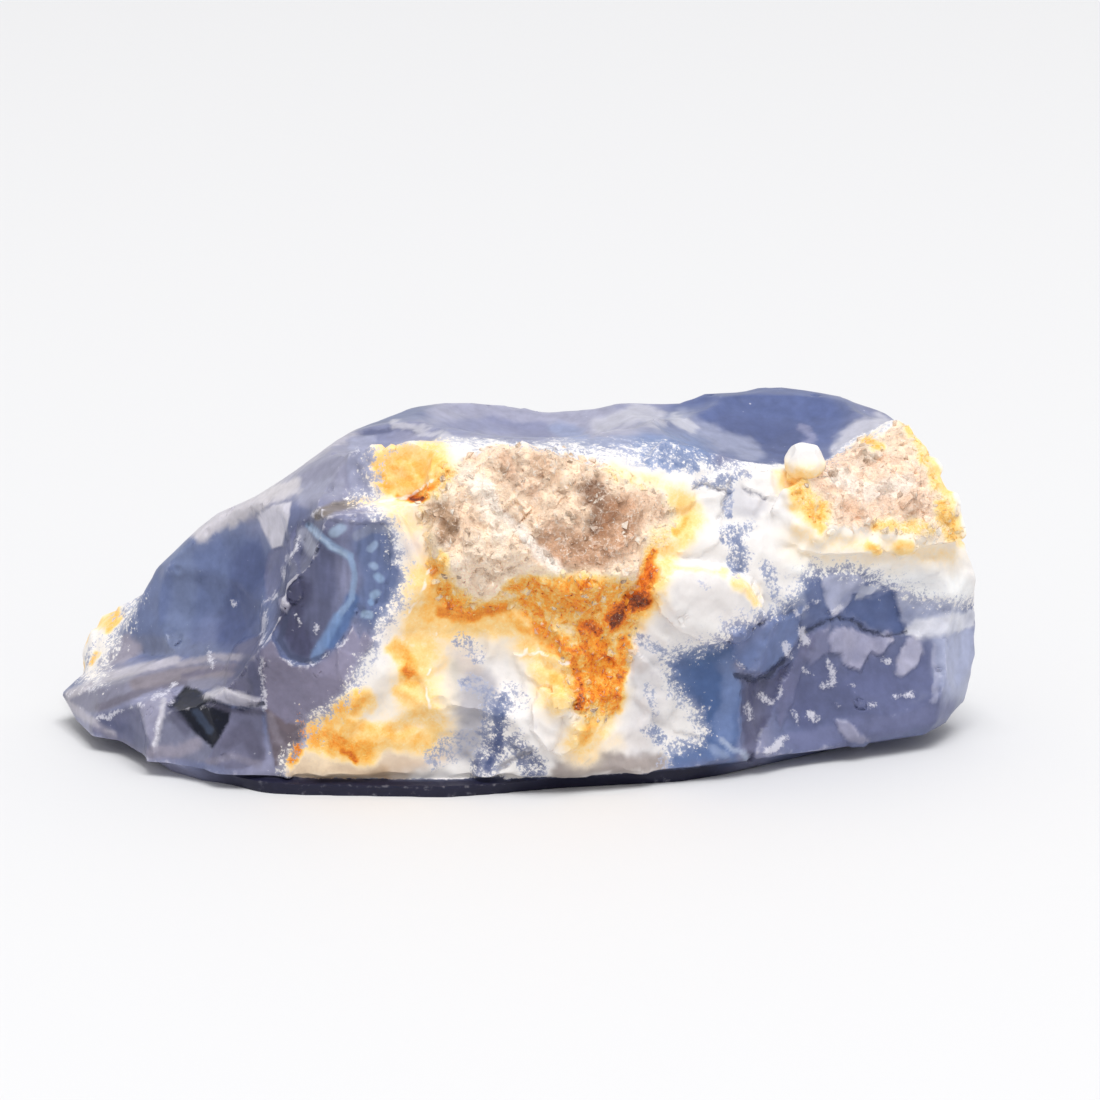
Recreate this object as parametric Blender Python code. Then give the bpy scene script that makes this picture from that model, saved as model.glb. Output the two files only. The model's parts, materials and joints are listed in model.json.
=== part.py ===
"""A rough piece of blue chalcedony with a quartz-crusted, iron-stained front, broken out and never polished.

The stone is built the way it was made: convex blocks of rock are joined into one mass, shell-shaped
scars are struck out of it, and granular quartz stands proud where the old rind shows. It lies on
a flat foot that is smaller than the stone, so the lower edge of the front overhangs a little.
X runs along the length, -Y faces the viewer and Z is up.
"""

import math
import random

import bmesh
import bpy
from mathutils import Matrix, Vector, noise
from mathutils.bvhtree import BVHTree

MM = 0.001

# Overall size in millimetres. The tables below are laid out inside it, with heights from the lower
# edge of the front. The whole stone is then raised onto its foot.
LENGTH = 48.5
DEPTH = 21.3
FOOT_HEIGHT = 1.0

# A face is cut up until no edge is longer than this, and its points are moved in or out by this much.
LONGEST_EDGE = 3.8
SPLIT_ROUNDS = 6
SWELL = 0.24
SWELL_WAVE = 3.8
SCAR_SWELL = 0.2
SCAR_WAVE = 2.6
FINE_SHARE = 0.5
FINE_WAVE = 0.45
SEED_SHIFT = Vector((7.3, 3.1, 5.7))
ON_LEVEL = 0.001

# Balls up to these radii take 3 and 4 steps, and a larger one takes 5.
SMALL_BALL = 13.0
LARGE_BALL = 28.0

STONE_BLUE = (0.20, 0.26, 0.47, 1.0)
STONE_ROUGHNESS = 0.32

# Each block is the hull of its corners, in millimetres.
BLOCKS = {
    "main_mass": [
        (-11.4, -8.2, 0.0), (2.0, -8.7, 0.0), (8.7, -6.9, 0.0), (12.9, -4.9, 0.0),
        (17.2, -2.3, 0.0), (21.2, -0.6, 0.0), (22.8, 3.2, 0.0), (20.0, 7.6, 0.0),
        (10.0, 9.4, 0.0), (-6.0, 9.2, 0.0), (-15.0, 8.2, 0.0), (-20.6, 5.0, 0.0),
        (-12.0, -8.9, 0.3), (2.0, -9.4, 0.3), (8.8, -7.5, 0.3), (13.0, -5.5, 0.3),
        (17.4, -2.9, 0.4), (21.8, -0.9, 0.5), (23.5, 3.2, 0.7), (20.6, 8.4, 0.9),
        (24.2, 2.5, 4.7), (23.8, 2.0, 8.1), (22.0, 1.5, 12.5), (20.2, 3.0, 16.1),
        (-13.0, -8.0, 6.4), (-12.4, -8.2, 9.2), (-10.6, -7.9, 13.2), (-8.8, -7.5, 14.3),
        (-1.2, -7.6, 16.6), (2.0, -7.8, 16.2), (5.0, -7.6, 15.5), (6.2, -8.2, 13.0),
        (4.0, -9.2, 8.2), (0.0, -9.4, 9.0), (3.4, -9.4, 4.0), (-3.0, -9.4, 4.0),
        (13.9, -3.0, 14.4), (14.6, -4.4, 9.6), (22.4, 0.0, 10.2),
        (-4.7, 7.2, 15.9), (4.2, 8.8, 14.9), (8.5, 9.8, 15.6), (15.4, 9.9, 16.3),
        (19.3, 7.6, 15.3), (-9.9, 1.6, 15.4), (-17.0, 3.0, 10.4), (-19.4, 4.0, 7.8),
        (-21.2, 5.0, 4.0), (-7.5, -5.6, 16.9), (-4.0, -6.6, 16.8),
        (-2.0, 10.7, 6.4), (9.0, 10.8, 5.0), (17.0, 10.4, 8.0), (22.8, 6.6, 6.0),
        (-12.0, 9.4, 9.0), (-17.6, 8.0, 7.0), (-20.4, 7.4, 5.0),
    ],
    "left_ledge": [
        (-24.5, 4.6, 0.7), (-23.7, 2.7, 0.0), (-22.0, -2.5, 0.0), (-19.5, -6.2, 0.0),
        (-16.7, -7.9, 0.0), (-11.8, -8.8, 0.0), (-22.2, 0.4, 2.1), (-18.2, -4.0, 4.0),
        (-15.0, -6.6, 5.3), (-12.8, -8.0, 6.6), (-23.4, 7.0, 0.0), (-22.8, 6.0, 2.0),
        (-15.0, 4.0, 4.6), (-10.0, 0.0, 6.6), (-10.0, 0.0, 0.0),
    ],
    "eye_lobe": [
        (-12.2, -8.8, 0.3), (-13.2, -8.8, 3.4), (-13.2, -9.0, 6.8), (-12.0, -9.0, 10.6),
        (-11.0, -8.9, 12.6), (-9.4, -8.8, 13.9), (-6.4, -9.2, 13.9), (-5.6, -9.4, 12.0),
        (-5.2, -9.6, 9.0), (-6.6, -9.8, 6.2), (-8.4, -9.7, 4.2), (-10.4, -9.1, 0.3),
        (-12.4, -6.0, 10.0), (-11.0, -5.0, 12.0), (-5.0, -5.0, 12.6), (-3.0, -7.6, 9.0),
        (-4.0, -7.6, 4.0), (-8.0, -6.0, 1.0), (-12.6, -6.0, 3.0),
    ],
    "quartz_plate": [
        (-4.4, -8.6, 14.6), (-3.0, -8.4, 15.8), (-0.8, -8.4, 17.1), (2.0, -8.5, 16.8),
        (4.9, -8.4, 15.8), (6.0, -8.9, 13.8), (5.8, -9.9, 10.4), (4.6, -10.3, 9.3),
        (2.6, -10.5, 9.2), (-0.6, -10.3, 9.6), (-3.6, -9.8, 10.2), (-4.5, -9.3, 12.2),
        (-3.0, -5.0, 15.6), (4.4, -5.0, 15.2), (6.0, -6.0, 10.0), (-4.4, -7.0, 10.0),
        (1.0, -6.0, 7.6),
    ],
    "quartz_tail": [
        (1.8, -10.1, 9.6), (5.2, -9.9, 9.4), (5.0, -9.9, 6.2), (4.4, -9.9, 3.4),
        (3.2, -10.0, 2.6), (2.2, -10.0, 4.4), (1.4, -10.1, 7.0), (0.8, -8.2, 9.4),
        (6.0, -8.0, 9.4), (5.0, -8.0, 2.2), (1.0, -8.2, 3.0),
    ],
    "white_flake": [
        (6.2, -9.2, 9.4), (7.4, -8.9, 11.0), (9.4, -8.2, 10.9), (11.4, -7.2, 9.8),
        (12.6, -6.6, 8.3), (11.4, -7.4, 7.6), (9.6, -8.2, 6.4), (7.6, -9.0, 6.2),
        (5.4, -9.3, 8.2), (6.0, -6.4, 11.4), (12.2, -4.0, 9.6), (10.0, -5.0, 5.6),
    ],
    "speckled_knob": [
        (5.6, -6.4, 15.2), (7.2, -5.4, 16.9), (9.0, -5.0, 16.4), (10.8, -5.0, 14.9),
        (10.2, -6.6, 12.8), (6.2, -8.0, 13.4), (6.6, -2.2, 15.2), (10.0, -2.0, 14.6),
    ],
    "low_front_flake": [
        (-1.6, -9.8, 5.4), (0.2, -10.0, 5.9), (1.9, -9.9, 4.6), (1.6, -9.9, 2.2),
        (0.2, -9.8, 1.4), (-1.2, -9.7, 2.8), (0.6, -8.4, 6.6), (2.4, -8.4, 1.6),
        (-2.4, -8.6, 4.0),
    ],
    "right_shoulder": [
        (13.0, -4.6, 13.0), (14.4, -4.0, 14.4), (20.2, 1.8, 16.1), (21.4, -0.2, 13.6),
        (22.9, -0.3, 11.6), (23.3, -0.5, 10.4), (20.0, -2.4, 10.2), (15.4, -4.6, 10.6),
        (13.2, -5.0, 11.4), (15.0, 3.0, 14.2), (20.0, 5.0, 14.0), (21.0, 3.0, 9.0),
        (14.0, 0.0, 9.0),
    ],
    "back_rind": [
        (-23.6, 8.2, 2.2), (-22.5, 8.6, 4.1), (-21.4, 8.5, 4.7), (-19.0, 8.8, 6.6),
        (-14.0, 9.2, 8.0), (-23.8, 7.6, 0.0), (-14.0, 9.8, 0.0), (-8.0, 9.8, 5.0),
        (-19.6, 4.0, 5.4), (-14.0, 2.0, 7.6), (-12.0, 4.0, 0.0), (-22.6, 3.0, 0.0),
        (-23.2, 5.0, 1.6),
    ],
    "white_nodule": [
        (13.7, -3.4, 14.4), (14.0, -3.3, 15.5), (14.5, -3.2, 15.8), (15.2, -3.1, 15.7),
        (15.6, -3.0, 15.1), (15.4, -3.4, 14.3), (14.6, -3.9, 14.7), (14.6, -2.3, 14.6),
        (14.6, -3.2, 13.4),
    ],
}

# What the stone lies on. Its rim comes close under the lower edge of the front from the left end to
# the blue window, and falls back from there to the right, where the photo shows hardly any shadow.
FOOT = [
    (-18.2, -4.6, -FOOT_HEIGHT), (-16.4, -6.4, -FOOT_HEIGHT), (-13.4, -7.9, -FOOT_HEIGHT),
    (-11.0, -8.3, -FOOT_HEIGHT), (-4.0, -8.7, -FOOT_HEIGHT), (0.5, -8.1, -FOOT_HEIGHT),
    (8.2, -6.6, -FOOT_HEIGHT), (10.3, -5.4, -FOOT_HEIGHT), (16.5, -0.3, -FOOT_HEIGHT),
    (20.0, 2.6, -FOOT_HEIGHT), (20.6, 4.6, -FOOT_HEIGHT), (18.6, 6.8, -FOOT_HEIGHT),
    (10.0, 7.4, -FOOT_HEIGHT), (-6.0, 7.0, -FOOT_HEIGHT), (-14.0, 6.4, -FOOT_HEIGHT),
    (-20.0, 5.2, -FOOT_HEIGHT), (-20.4, 2.6, -FOOT_HEIGHT), (-19.2, -1.4, -FOOT_HEIGHT),
    (-18.6, -5.8, 0.5), (-16.2, -7.2, 0.5), (-11.6, -8.2, 0.5), (-4.0, -8.6, 0.5), (1.8, -8.5, 0.5),
    (8.6, -6.5, 0.5), (12.8, -4.6, 0.5), (17.0, -1.6, 0.5), (20.8, 0.6, 0.5), (22.0, 3.6, 0.5),
    (19.8, 7.2, 0.5), (10.0, 9.0, 0.5), (-6.0, 8.8, 0.5), (-15.0, 7.9, 0.5), (-22.8, 6.8, 0.5),
    (-23.2, 3.0, 0.5), (-21.4, -2.2, 0.5),
]
FOOT_SEED = 50

# What broke away whole, as the hull of its corners.
CHIPS = {
    "notch_over_lobe": [
        (-11.4, -12.0, 13.9), (-8.9, -12.0, 14.6), (-5.0, -12.0, 14.2), (-4.4, -12.0, 15.2),
        (-3.4, -12.0, 17.6), (-12.0, -12.0, 18.2), (-10.9, -6.4, 13.6), (-8.9, -6.4, 14.2),
        (-5.2, -6.9, 14.1), (-4.2, -6.6, 17.4), (-8.0, -5.2, 17.4), (-12.0, -4.0, 16.6),
    ],
}

# Each scar is a shell of a sphere: the point aimed at, the way it faces, its width, its depth and
# how many times taller than wide it is.
SCARS = {
    "great_left_scar": ((-16.8, -1.8, 8.8), (-0.72, -0.60, 0.34), 13.2, 2.0, 0.86),
    "left_ledge_scoop": ((-19.2, -2.4, 5.0), (-0.46, -0.50, 0.73), 9.4, 1.3, 0.6),
    "ledge_shard": ((-16.8, -6.8, 2.0), (-0.60, -0.80, 0.0), 6.2, 0.8, 0.9),
    "ledge_shard_left": ((-21.0, -3.2, 1.0), (-0.84, -0.54, 0.06), 6.0, 0.8, 0.8),
    "ledge_nick": ((-14.4, -7.8, 3.4), (-0.50, -0.86, 0.10), 3.2, 0.6, 1.6),
    "pale_facet": ((-13.4, -5.4, 12.0), (-0.62, -0.60, 0.50), 6.0, 0.7, 1.0),
    "right_top_hollow": ((13.2, 2.6, 15.8), (0.04, -0.16, 1.0), 14.0, 2.2, 1.0),
    "right_top_flake": ((8.4, 5.4, 15.6), (-0.10, 0.05, 1.0), 8.0, 0.8, 1.0),
    "right_top_slope": ((18.4, 5.0, 16.0), (0.30, 0.10, 1.0), 8.0, 0.7, 1.0),
    "left_top_hollow": ((1.2, 3.0, 16.2), (-0.03, 0.03, 1.0), 13.8, 2.1, 1.0),
    "left_top_flake": ((-6.6, -0.6, 16.2), (-0.20, -0.16, 1.0), 7.6, 0.9, 1.0),
    "top_back_nick": ((2.4, 8.4, 15.0), (0.05, 0.45, 0.90), 9.0, 0.9, 1.0),
    "top_left_facet": ((-13.0, 3.8, 13.4), (-0.50, 0.16, 0.86), 9.0, 0.5, 1.0),
    "lobe_thumbprint": ((-9.4, -9.0, 9.4), (-0.26, -0.96, 0.06), 5.0, 0.5, 1.5),
    "lobe_window": ((-7.2, -9.2, 10.4), (0.06, -1.0, 0.12), 4.2, 0.4, 1.3),
    "slope_below_lobe": ((-9.8, -9.6, 2.6), (-0.40, -0.90, -0.04), 7.4, 0.6, 0.9),
    "slope_below_plate": ((-3.0, -9.6, 6.8), (0.10, -1.0, 0.10), 8.4, 0.9, 0.8),
    "low_front_break": ((-4.6, -9.6, 2.0), (0.04, -1.0, -0.14), 6.4, 0.6, 0.8),
    "saddle_by_boss": ((9.4, -7.6, 13.2), (0.42, -0.86, 0.30), 8.4, 0.8, 0.8),
    "blue_window": ((9.0, -7.8, 3.2), (0.22, -0.97, -0.06), 8.0, 0.8, 0.9),
    "blue_window_left": ((6.2, -8.6, 5.4), (0.10, -0.99, 0.0), 4.6, 0.4, 1.3),
    "step_break": ((15.0, -5.4, 4.0), (0.60, -0.80, -0.05), 7.2, 1.3, 1.3),
    "right_lower_break": ((19.8, -2.8, 6.2), (0.46, -0.88, -0.12), 9.6, 1.5, 0.85),
    "right_small_flake": ((17.4, -3.6, 7.4), (0.40, -0.90, 0.10), 4.6, 0.5, 0.8),
    "right_end_break": ((24.0, 1.0, 4.4), (0.86, -0.50, 0.05), 5.4, 0.5, 1.2),
    "right_end_slope": ((23.0, 5.6, 11.0), (0.86, 0.44, 0.25), 9.0, 0.9, 1.0),
    "back_great_scar": ((5.0, 10.0, 10.4), (0.10, 0.94, 0.32), 15.0, 2.4, 0.9),
    "back_mid_scar": ((-1.4, 10.0, 3.4), (-0.05, 1.0, -0.22), 10.5, 1.4, 0.9),
    "back_right_scar": ((16.6, 9.6, 4.0), (0.40, 0.90, -0.14), 12.0, 1.8, 1.0),
    "back_right_top": ((17.6, 9.6, 12.6), (0.30, 0.86, 0.40), 7.6, 0.9, 1.0),
    "back_left_scar": ((-8.0, 9.0, 11.6), (-0.30, 0.76, 0.56), 12.0, 1.6, 1.0),
    "back_low_scar": ((-11.6, 9.6, 3.6), (-0.20, 0.97, 0.0), 8.6, 1.0, 1.0),
    "back_end_scar": ((-19.6, 8.4, 6.4), (-0.50, 0.60, 0.62), 6.4, 0.7, 1.0),
}

# Quartz stands in a crust of stubby crystals: the middle of each patch seen from the front, its half
# width, its half height, how large the crystals are and how many are tried.
QUARTZ_PATCHES = {
    "plate_quartz": ((0.8, 13.1), 5.2, 3.6, 0.86, 260),
    "tail_quartz": ((3.2, 6.4), 1.6, 3.0, 0.70, 90),
    "shoulder_quartz": ((18.2, 12.9), 4.4, 2.4, 0.88, 160),
    "notch_quartz": ((-6.4, 15.4), 1.7, 1.1, 0.62, 40),
}
QUARTZ_SEED = 7
QUARTZ_DEEPEST = 2.0

# A crystal's measures, as shares of its size.
CRYSTAL_SPACING = 1.0
CRYSTAL_SIZES = (0.7, 1.2)
CRYSTAL_SIDES = 5
CRYSTAL_FOOT = 0.5
CRYSTAL_SHOULDER = 0.66
SHOULDER_HEIGHTS = (0.16, 0.34)
TIP_HEIGHTS = (0.34, 0.56)
TIP_LEAN = 0.3
SIDE_JITTER = 0.2


def convex_hull(corners):
    """A closed bmesh around the corners, in metres."""
    shape = bmesh.new()
    for corner in corners:
        shape.verts.new(Vector(corner) * MM)
    made = bmesh.ops.convex_hull(shape, input=shape.verts)
    loose = {v for v in made["geom_interior"] + made["geom_unused"] if isinstance(v, bmesh.types.BMVert)}
    bmesh.ops.delete(shape, geom=list(loose), context="VERTS")
    bmesh.ops.recalc_face_normals(shape, faces=shape.faces)
    return shape


def split_long_edges(shape, longest):
    """Halves edges until none is longer than this, so that a face can be uneven."""
    for _ in range(SPLIT_ROUNDS):
        long_edges = [e for e in shape.edges if e.calc_length() > longest]
        if not long_edges:
            return
        bmesh.ops.subdivide_edges(shape, edges=long_edges, cuts=1)
        bmesh.ops.triangulate(shape, faces=shape.faces)


def swell(verts, seed, height, wave):
    """Makes flat faces gently uneven, the way a break is."""
    shift = SEED_SHIFT * seed
    for vert in verts:
        place = vert.co / MM
        lift = noise.noise(place / wave + shift)
        lift += FINE_SHARE * noise.noise(place / (wave * FINE_WAVE) + shift)
        vert.co += vert.normal * lift * height * MM


def add_object(name, shape, collection):
    mesh = bpy.data.meshes.new(name)
    shape.to_mesh(mesh)
    shape.free()
    obj = bpy.data.objects.new(name, mesh)
    collection.objects.link(obj)
    return obj


def as_cutter(obj):
    obj.hide_render = True
    obj.display_type = "WIRE"
    return obj


def rock_block(name, corners, level, seed, collection):
    """A hull with uneven faces. What lies on the level stays flat, and nothing goes below it."""
    shape = convex_hull(corners)
    split_long_edges(shape, LONGEST_EDGE * MM)
    shape.normal_update()
    swell([v for v in shape.verts if v.co.z > (level + ON_LEVEL) * MM], seed, SWELL, SWELL_WAVE)
    for vert in shape.verts:
        vert.co.z = max(vert.co.z, level * MM)
    return add_object(name, shape, collection)


def surface_of(obj):
    return BVHTree.FromObject(obj, bpy.context.evaluated_depsgraph_get())


def surface_point(surface, aim, outward):
    """Where a line coming in from outside towards the aim first meets the stone, in millimetres."""
    start = (aim + outward * LENGTH) * MM
    return surface.ray_cast(start, -outward)[0] / MM


def ball_steps(radius):
    """More steps on a larger ball, so that its facets are as large as the rest of the stone's."""
    if radius < SMALL_BALL:
        return 3
    return 4 if radius < LARGE_BALL else 5


def scar_cutter(name, surface, aim, facing, across, depth, taller, seed, collection):
    """A ball that leaves a shell-shaped hollow of that width and depth."""
    outward = Vector(facing).normalized()
    middle = surface_point(surface, Vector(aim), outward)
    radius = across * across / (8 * depth) + depth / 2
    shape = bmesh.new()
    bmesh.ops.create_icosphere(shape, subdivisions=ball_steps(radius), radius=radius * MM)
    shape.normal_update()
    swell(shape.verts, seed, SCAR_SWELL, SCAR_WAVE)
    bmesh.ops.translate(shape, vec=outward * (radius - depth) * MM, verts=shape.verts)
    bmesh.ops.scale(shape, vec=(1.0, 1.0, taller), verts=shape.verts)
    bmesh.ops.translate(shape, vec=middle * MM, verts=shape.verts)
    return as_cutter(add_object(name, shape, collection))


def crystal_hull(rng, size):
    """One stubby crystal standing on +Z, its foot sunk below the origin."""
    turn = rng.uniform(0, math.tau)
    lean = (rng.uniform(-TIP_LEAN, TIP_LEAN), rng.uniform(-TIP_LEAN, TIP_LEAN), rng.uniform(*TIP_HEIGHTS))
    corners = [Vector(lean) * size]
    for side in range(CRYSTAL_SIDES):
        angle = turn + math.tau * (side + rng.uniform(-SIDE_JITTER, SIDE_JITTER)) / CRYSTAL_SIDES
        out = Vector((math.cos(angle), math.sin(angle), 0.0)) * size
        foot = Vector((0.0, 0.0, -CRYSTAL_FOOT * size))
        shoulder = Vector((0.0, 0.0, size * rng.uniform(*SHOULDER_HEIGHTS)))
        corners.append(out + foot)
        corners.append(out * CRYSTAL_SHOULDER + shoulder)
    return convex_hull(corners)


def crystal_places(rng, surface, middle, half_width, half_height, gap, tries):
    """Points on the front of the stone inside the patch, no two closer than the gap."""
    places = []
    for _ in range(tries):
        angle, reach = rng.uniform(0, math.tau), math.sqrt(rng.random())
        x = middle[0] + half_width * reach * math.cos(angle)
        z = middle[1] + half_height * reach * math.sin(angle)
        place, normal = surface.ray_cast(Vector((x, -DEPTH, z)) * MM, Vector((0, 1, 0)))[:2]
        if place is None or place.y > QUARTZ_DEEPEST * MM:
            continue
        if all((place - other).length > gap * MM for other, _ in places):
            places.append((place, normal))
    return places


def quartz_crust(surface, collection):
    """Low crystals with flat faces, side by side wherever the quartz shows on the front."""
    rng = random.Random(QUARTZ_SEED)
    crust = bmesh.new()
    for middle, half_width, half_height, size, tries in QUARTZ_PATCHES.values():
        gap = size * CRYSTAL_SPACING
        for place, normal in crystal_places(rng, surface, middle, half_width, half_height, gap, tries):
            crystal = crystal_hull(rng, size * rng.uniform(*CRYSTAL_SIZES))
            stand = Matrix.Translation(place) @ normal.to_track_quat("Z", "X").to_matrix().to_4x4()
            bmesh.ops.transform(crystal, matrix=stand, verts=crystal.verts)
            mesh = bpy.data.meshes.new("crystal")
            crystal.to_mesh(mesh)
            crystal.free()
            crust.from_mesh(mesh)
            bpy.data.meshes.remove(mesh)
    return as_cutter(add_object("quartz_crust", crust, collection))


def boolean(stone, operation, other):
    step = stone.modifiers.new(other.name, "BOOLEAN")
    step.operation = operation
    step.object = other
    return step


def raise_all(height):
    """Lifts the stone with everything that shapes it."""
    for obj in bpy.data.objects:
        obj.location.z = height * MM


def stone_material():
    material = bpy.data.materials.new("blue_chalcedony")
    material.use_nodes = True
    shader = material.node_tree.nodes["Principled BSDF"]
    shader.inputs["Base Color"].default_value = STONE_BLUE
    shader.inputs["Roughness"].default_value = STONE_ROUGHNESS
    shader.inputs["Metallic"].default_value = 0.0
    material.diffuse_color = STONE_BLUE
    return material


def clear_scene():
    for obj in list(bpy.data.objects):
        bpy.data.objects.remove(obj)


def new_collection(name):
    collection = bpy.data.collections.new(name)
    bpy.context.scene.collection.children.link(collection)
    return collection


def main():
    clear_scene()
    part = new_collection("blue_lace_agate")
    cutters = new_collection("cutters")
    masses = {}
    for seed, (name, corners) in enumerate(BLOCKS.items()):
        masses[name] = rock_block(name, corners, 0.0, seed, part if name == "main_mass" else cutters)
    masses["foot"] = rock_block("foot", FOOT, -FOOT_HEIGHT, FOOT_SEED, cutters)
    stone = masses.pop("main_mass")
    stone.name = "agate_stone"
    stone.data.materials.append(stone_material())
    for mass in masses.values():
        boolean(stone, "UNION", as_cutter(mass))
    for seed, (name, corners) in enumerate(CHIPS.items(), start=len(BLOCKS)):
        boolean(stone, "DIFFERENCE", as_cutter(rock_block(name, corners, 0.0, seed, cutters)))
    whole = surface_of(stone)
    for seed, (name, numbers) in enumerate(SCARS.items()):
        boolean(stone, "DIFFERENCE", scar_cutter(name, whole, *numbers, seed, cutters))
    crust = quartz_crust(surface_of(stone), cutters)
    boolean(stone, "UNION", crust).use_self = True
    raise_all(FOOT_HEIGHT)


main()
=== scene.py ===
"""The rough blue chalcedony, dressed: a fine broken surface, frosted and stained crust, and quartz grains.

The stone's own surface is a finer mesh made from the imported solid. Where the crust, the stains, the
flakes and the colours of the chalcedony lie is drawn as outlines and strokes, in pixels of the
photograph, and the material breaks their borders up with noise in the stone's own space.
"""

import json
import math

import bmesh
import bpy
import numpy as np
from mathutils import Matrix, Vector, noise

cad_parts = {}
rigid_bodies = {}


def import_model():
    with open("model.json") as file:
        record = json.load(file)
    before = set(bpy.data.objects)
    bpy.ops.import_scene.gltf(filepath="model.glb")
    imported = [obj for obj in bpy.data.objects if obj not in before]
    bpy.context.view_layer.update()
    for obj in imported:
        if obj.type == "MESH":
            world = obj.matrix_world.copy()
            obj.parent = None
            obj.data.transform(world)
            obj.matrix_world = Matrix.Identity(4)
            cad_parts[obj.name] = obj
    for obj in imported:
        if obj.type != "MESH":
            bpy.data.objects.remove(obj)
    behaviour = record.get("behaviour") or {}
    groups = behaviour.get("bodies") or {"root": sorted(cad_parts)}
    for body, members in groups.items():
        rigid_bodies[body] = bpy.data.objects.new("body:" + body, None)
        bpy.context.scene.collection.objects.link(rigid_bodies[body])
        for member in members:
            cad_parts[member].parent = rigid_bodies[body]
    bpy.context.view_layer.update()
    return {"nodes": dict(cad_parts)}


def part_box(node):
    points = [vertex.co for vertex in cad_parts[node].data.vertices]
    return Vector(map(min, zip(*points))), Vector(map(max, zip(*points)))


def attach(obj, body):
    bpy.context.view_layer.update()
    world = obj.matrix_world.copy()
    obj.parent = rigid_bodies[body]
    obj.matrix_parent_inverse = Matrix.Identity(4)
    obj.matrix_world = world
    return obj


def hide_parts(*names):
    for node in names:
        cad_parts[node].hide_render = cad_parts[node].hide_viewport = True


MM = 0.001

# The photograph's view, in millimetres and degrees.
PHOTO_SIZE = 1100
VIEW_ELEVATION = math.radians(14.0)
VIEW_DISTANCE = 340.0
VIEW_LENS = 213.0
VIEW_SENSOR = 36.0
VIEW_AIM = np.array([1.5, 0.0, 10.7])
VIEW_FORWARD = np.array([0.0, math.cos(VIEW_ELEVATION), -math.sin(VIEW_ELEVATION)])
VIEW_UP = np.array([0.0, math.sin(VIEW_ELEVATION), math.cos(VIEW_ELEVATION)])
VIEW_PLACE = VIEW_AIM - VIEW_DISTANCE * VIEW_FORWARD
PIXEL = 0.0523

# The fine surface, in millimetres and counts.
VOXEL = 0.125
EVEN_ROUNDS = 24
EVEN_KEEP = 0.26
FIT_ROUNDS = 10
STONE_TRIANGLES = 156000
# Triangles are taken from the back before the front: the weight in front, what the back has more, and
# from which facing to which it rises.
THIN_FRONT = 0.2
THIN_BACK = 0.75
THIN_FACING = (0.5, -0.15)
THIN_STEPS = 20
SHARP_ANGLE = math.radians(34)
FLOOR_SKIN = 0.03
FACING_ROUNDS = 14
RELIEF_ROUNDS = 4

# Blender's noise vectors start from the clock unless they are given a seed.
TILT_SEED = 7

# Small conchoidal nibbles along the ridges, in millimetres and counts.
NIBBLES = 300
NIBBLE_SEED = 11
NIBBLE_RIDGE = 0.42
NIBBLE_RADIUS = (0.35, 1.1)
NIBBLE_DEPTH = (0.03, 0.10)
NIBBLE_WOBBLE = 0.10
NIBBLE_LOWEST = 1.6

# Quartz grains, in millimetres and counts. The sizes are the smallest and largest radius, the spacing
# and how much lighter a grain is than its surroundings.
GRAIN_SEED = 23
GRAIN_SHAPES = 10
GRAIN_CORNERS = 13
GRAIN_SIZES = {"large": (0.24, 0.40, 0.40, -0.35), "small": (0.06, 0.12, 0.25, 0.7)}
GRAIN_SINK = (0.35, 0.85)
GRAIN_TRIES = 2.0
GRAIN_ANGLE = math.radians(58)
GRAIN_CELL = 0.42
GRAIN_QUARTZ = 20.0

# The white nodule, in millimetres.
NODULE_MIDDLE = np.array([14.65, -3.2, 16.2])
NODULE_REACH = np.array([1.02, 0.92, 1.02])
NODULE_STAIN = 0.42
NODULE_STAINED = (0.9, -0.6)
# The flat sides cut from it: which way each faces, and how far out it lies as a share of the reach.
NODULE_CUTS = {
    "top": ((0.05, -0.10, 1.0), 0.80),
    "left": ((-1.0, -0.2, 0.62), 0.86),
    "right": ((1.0, -0.25, 0.50), 0.84),
    "front": ((0.15, -1.0, 0.35), 0.84),
    "back": ((-0.2, 1.0, 0.5), 0.86),
}

# The front of the stone from left to right, as X and the Y of its nearest point. The crust that is
# drawn on the front fades out this far behind it.
FRONT_LINE = [(-25, 4.0), (-20, -4.0), (-12, -8.8), (0, -10.2), (8, -8.5), (14, -4.6), (20, -1.6), (25, 2.0)]
CRUST_THROUGH = (4.5, 8.5)
CREST_CRUST = 0.6

# The crust and the quartz are counted this deep, in pixels, and this much is taken off behind the front.
DEEPEST = 40
HIDDEN = 60
# What a field of lines says far from all of them.
NO_LINE = -12.0
# How far a surface may turn from the view before the drawing on it fades, as facing from none to all:
# colours, relief and crust.
TINT_SEEN = (-0.2, 0.02)
RELIEF_SEEN = (-0.2, 0.05)
CRUST_SEEN = (-0.35, -0.1)

# The foot lies in shadow below the front's lower edge, and no crust reaches it. Heights in millimetres.
# The foot's dark colour is a painted shadow, which fades out towards the left and right ends.
FOOT_FADE = (0.66, 0.80)
UNDERSIDE_SHADOW = (30, 30, 50)
UNDERSIDE_SHADOW_LEFT = (-18.5, -13.5)
UNDERSIDE_SHADOW_RIGHT = (14.0, 9.0)
FOOT_AHEAD = 0.8
FOOT_AHEAD_LEFT = (-15.5, -12.5)
FOOT_AHEAD_RIGHT = (2.0, -1.0)
LIP_HEIGHT = 0.95
LIP_DROP = 0.18
LIP_REACH = 0.6

# Patches of crust on the back: middle and reach along X, Y and Z in millimetres, then the stain.
BACK_CRUST = {
    "left_end": ((-23.4, 8.2, 4.4), (2.4, 2.2, 2.6), 0.60),
    "right_back": ((21.6, 7.0, 11.0), (2.6, 4.2, 5.0), 0.42),
    "low_middle": ((-3.0, 10.4, 2.6), (7.0, 3.0, 2.0), 0.34),
    "low_right": ((13.0, 9.6, 3.4), (4.6, 3.0, 1.4), 0.20),
}
BACK_RAGGED = 1.5

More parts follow.
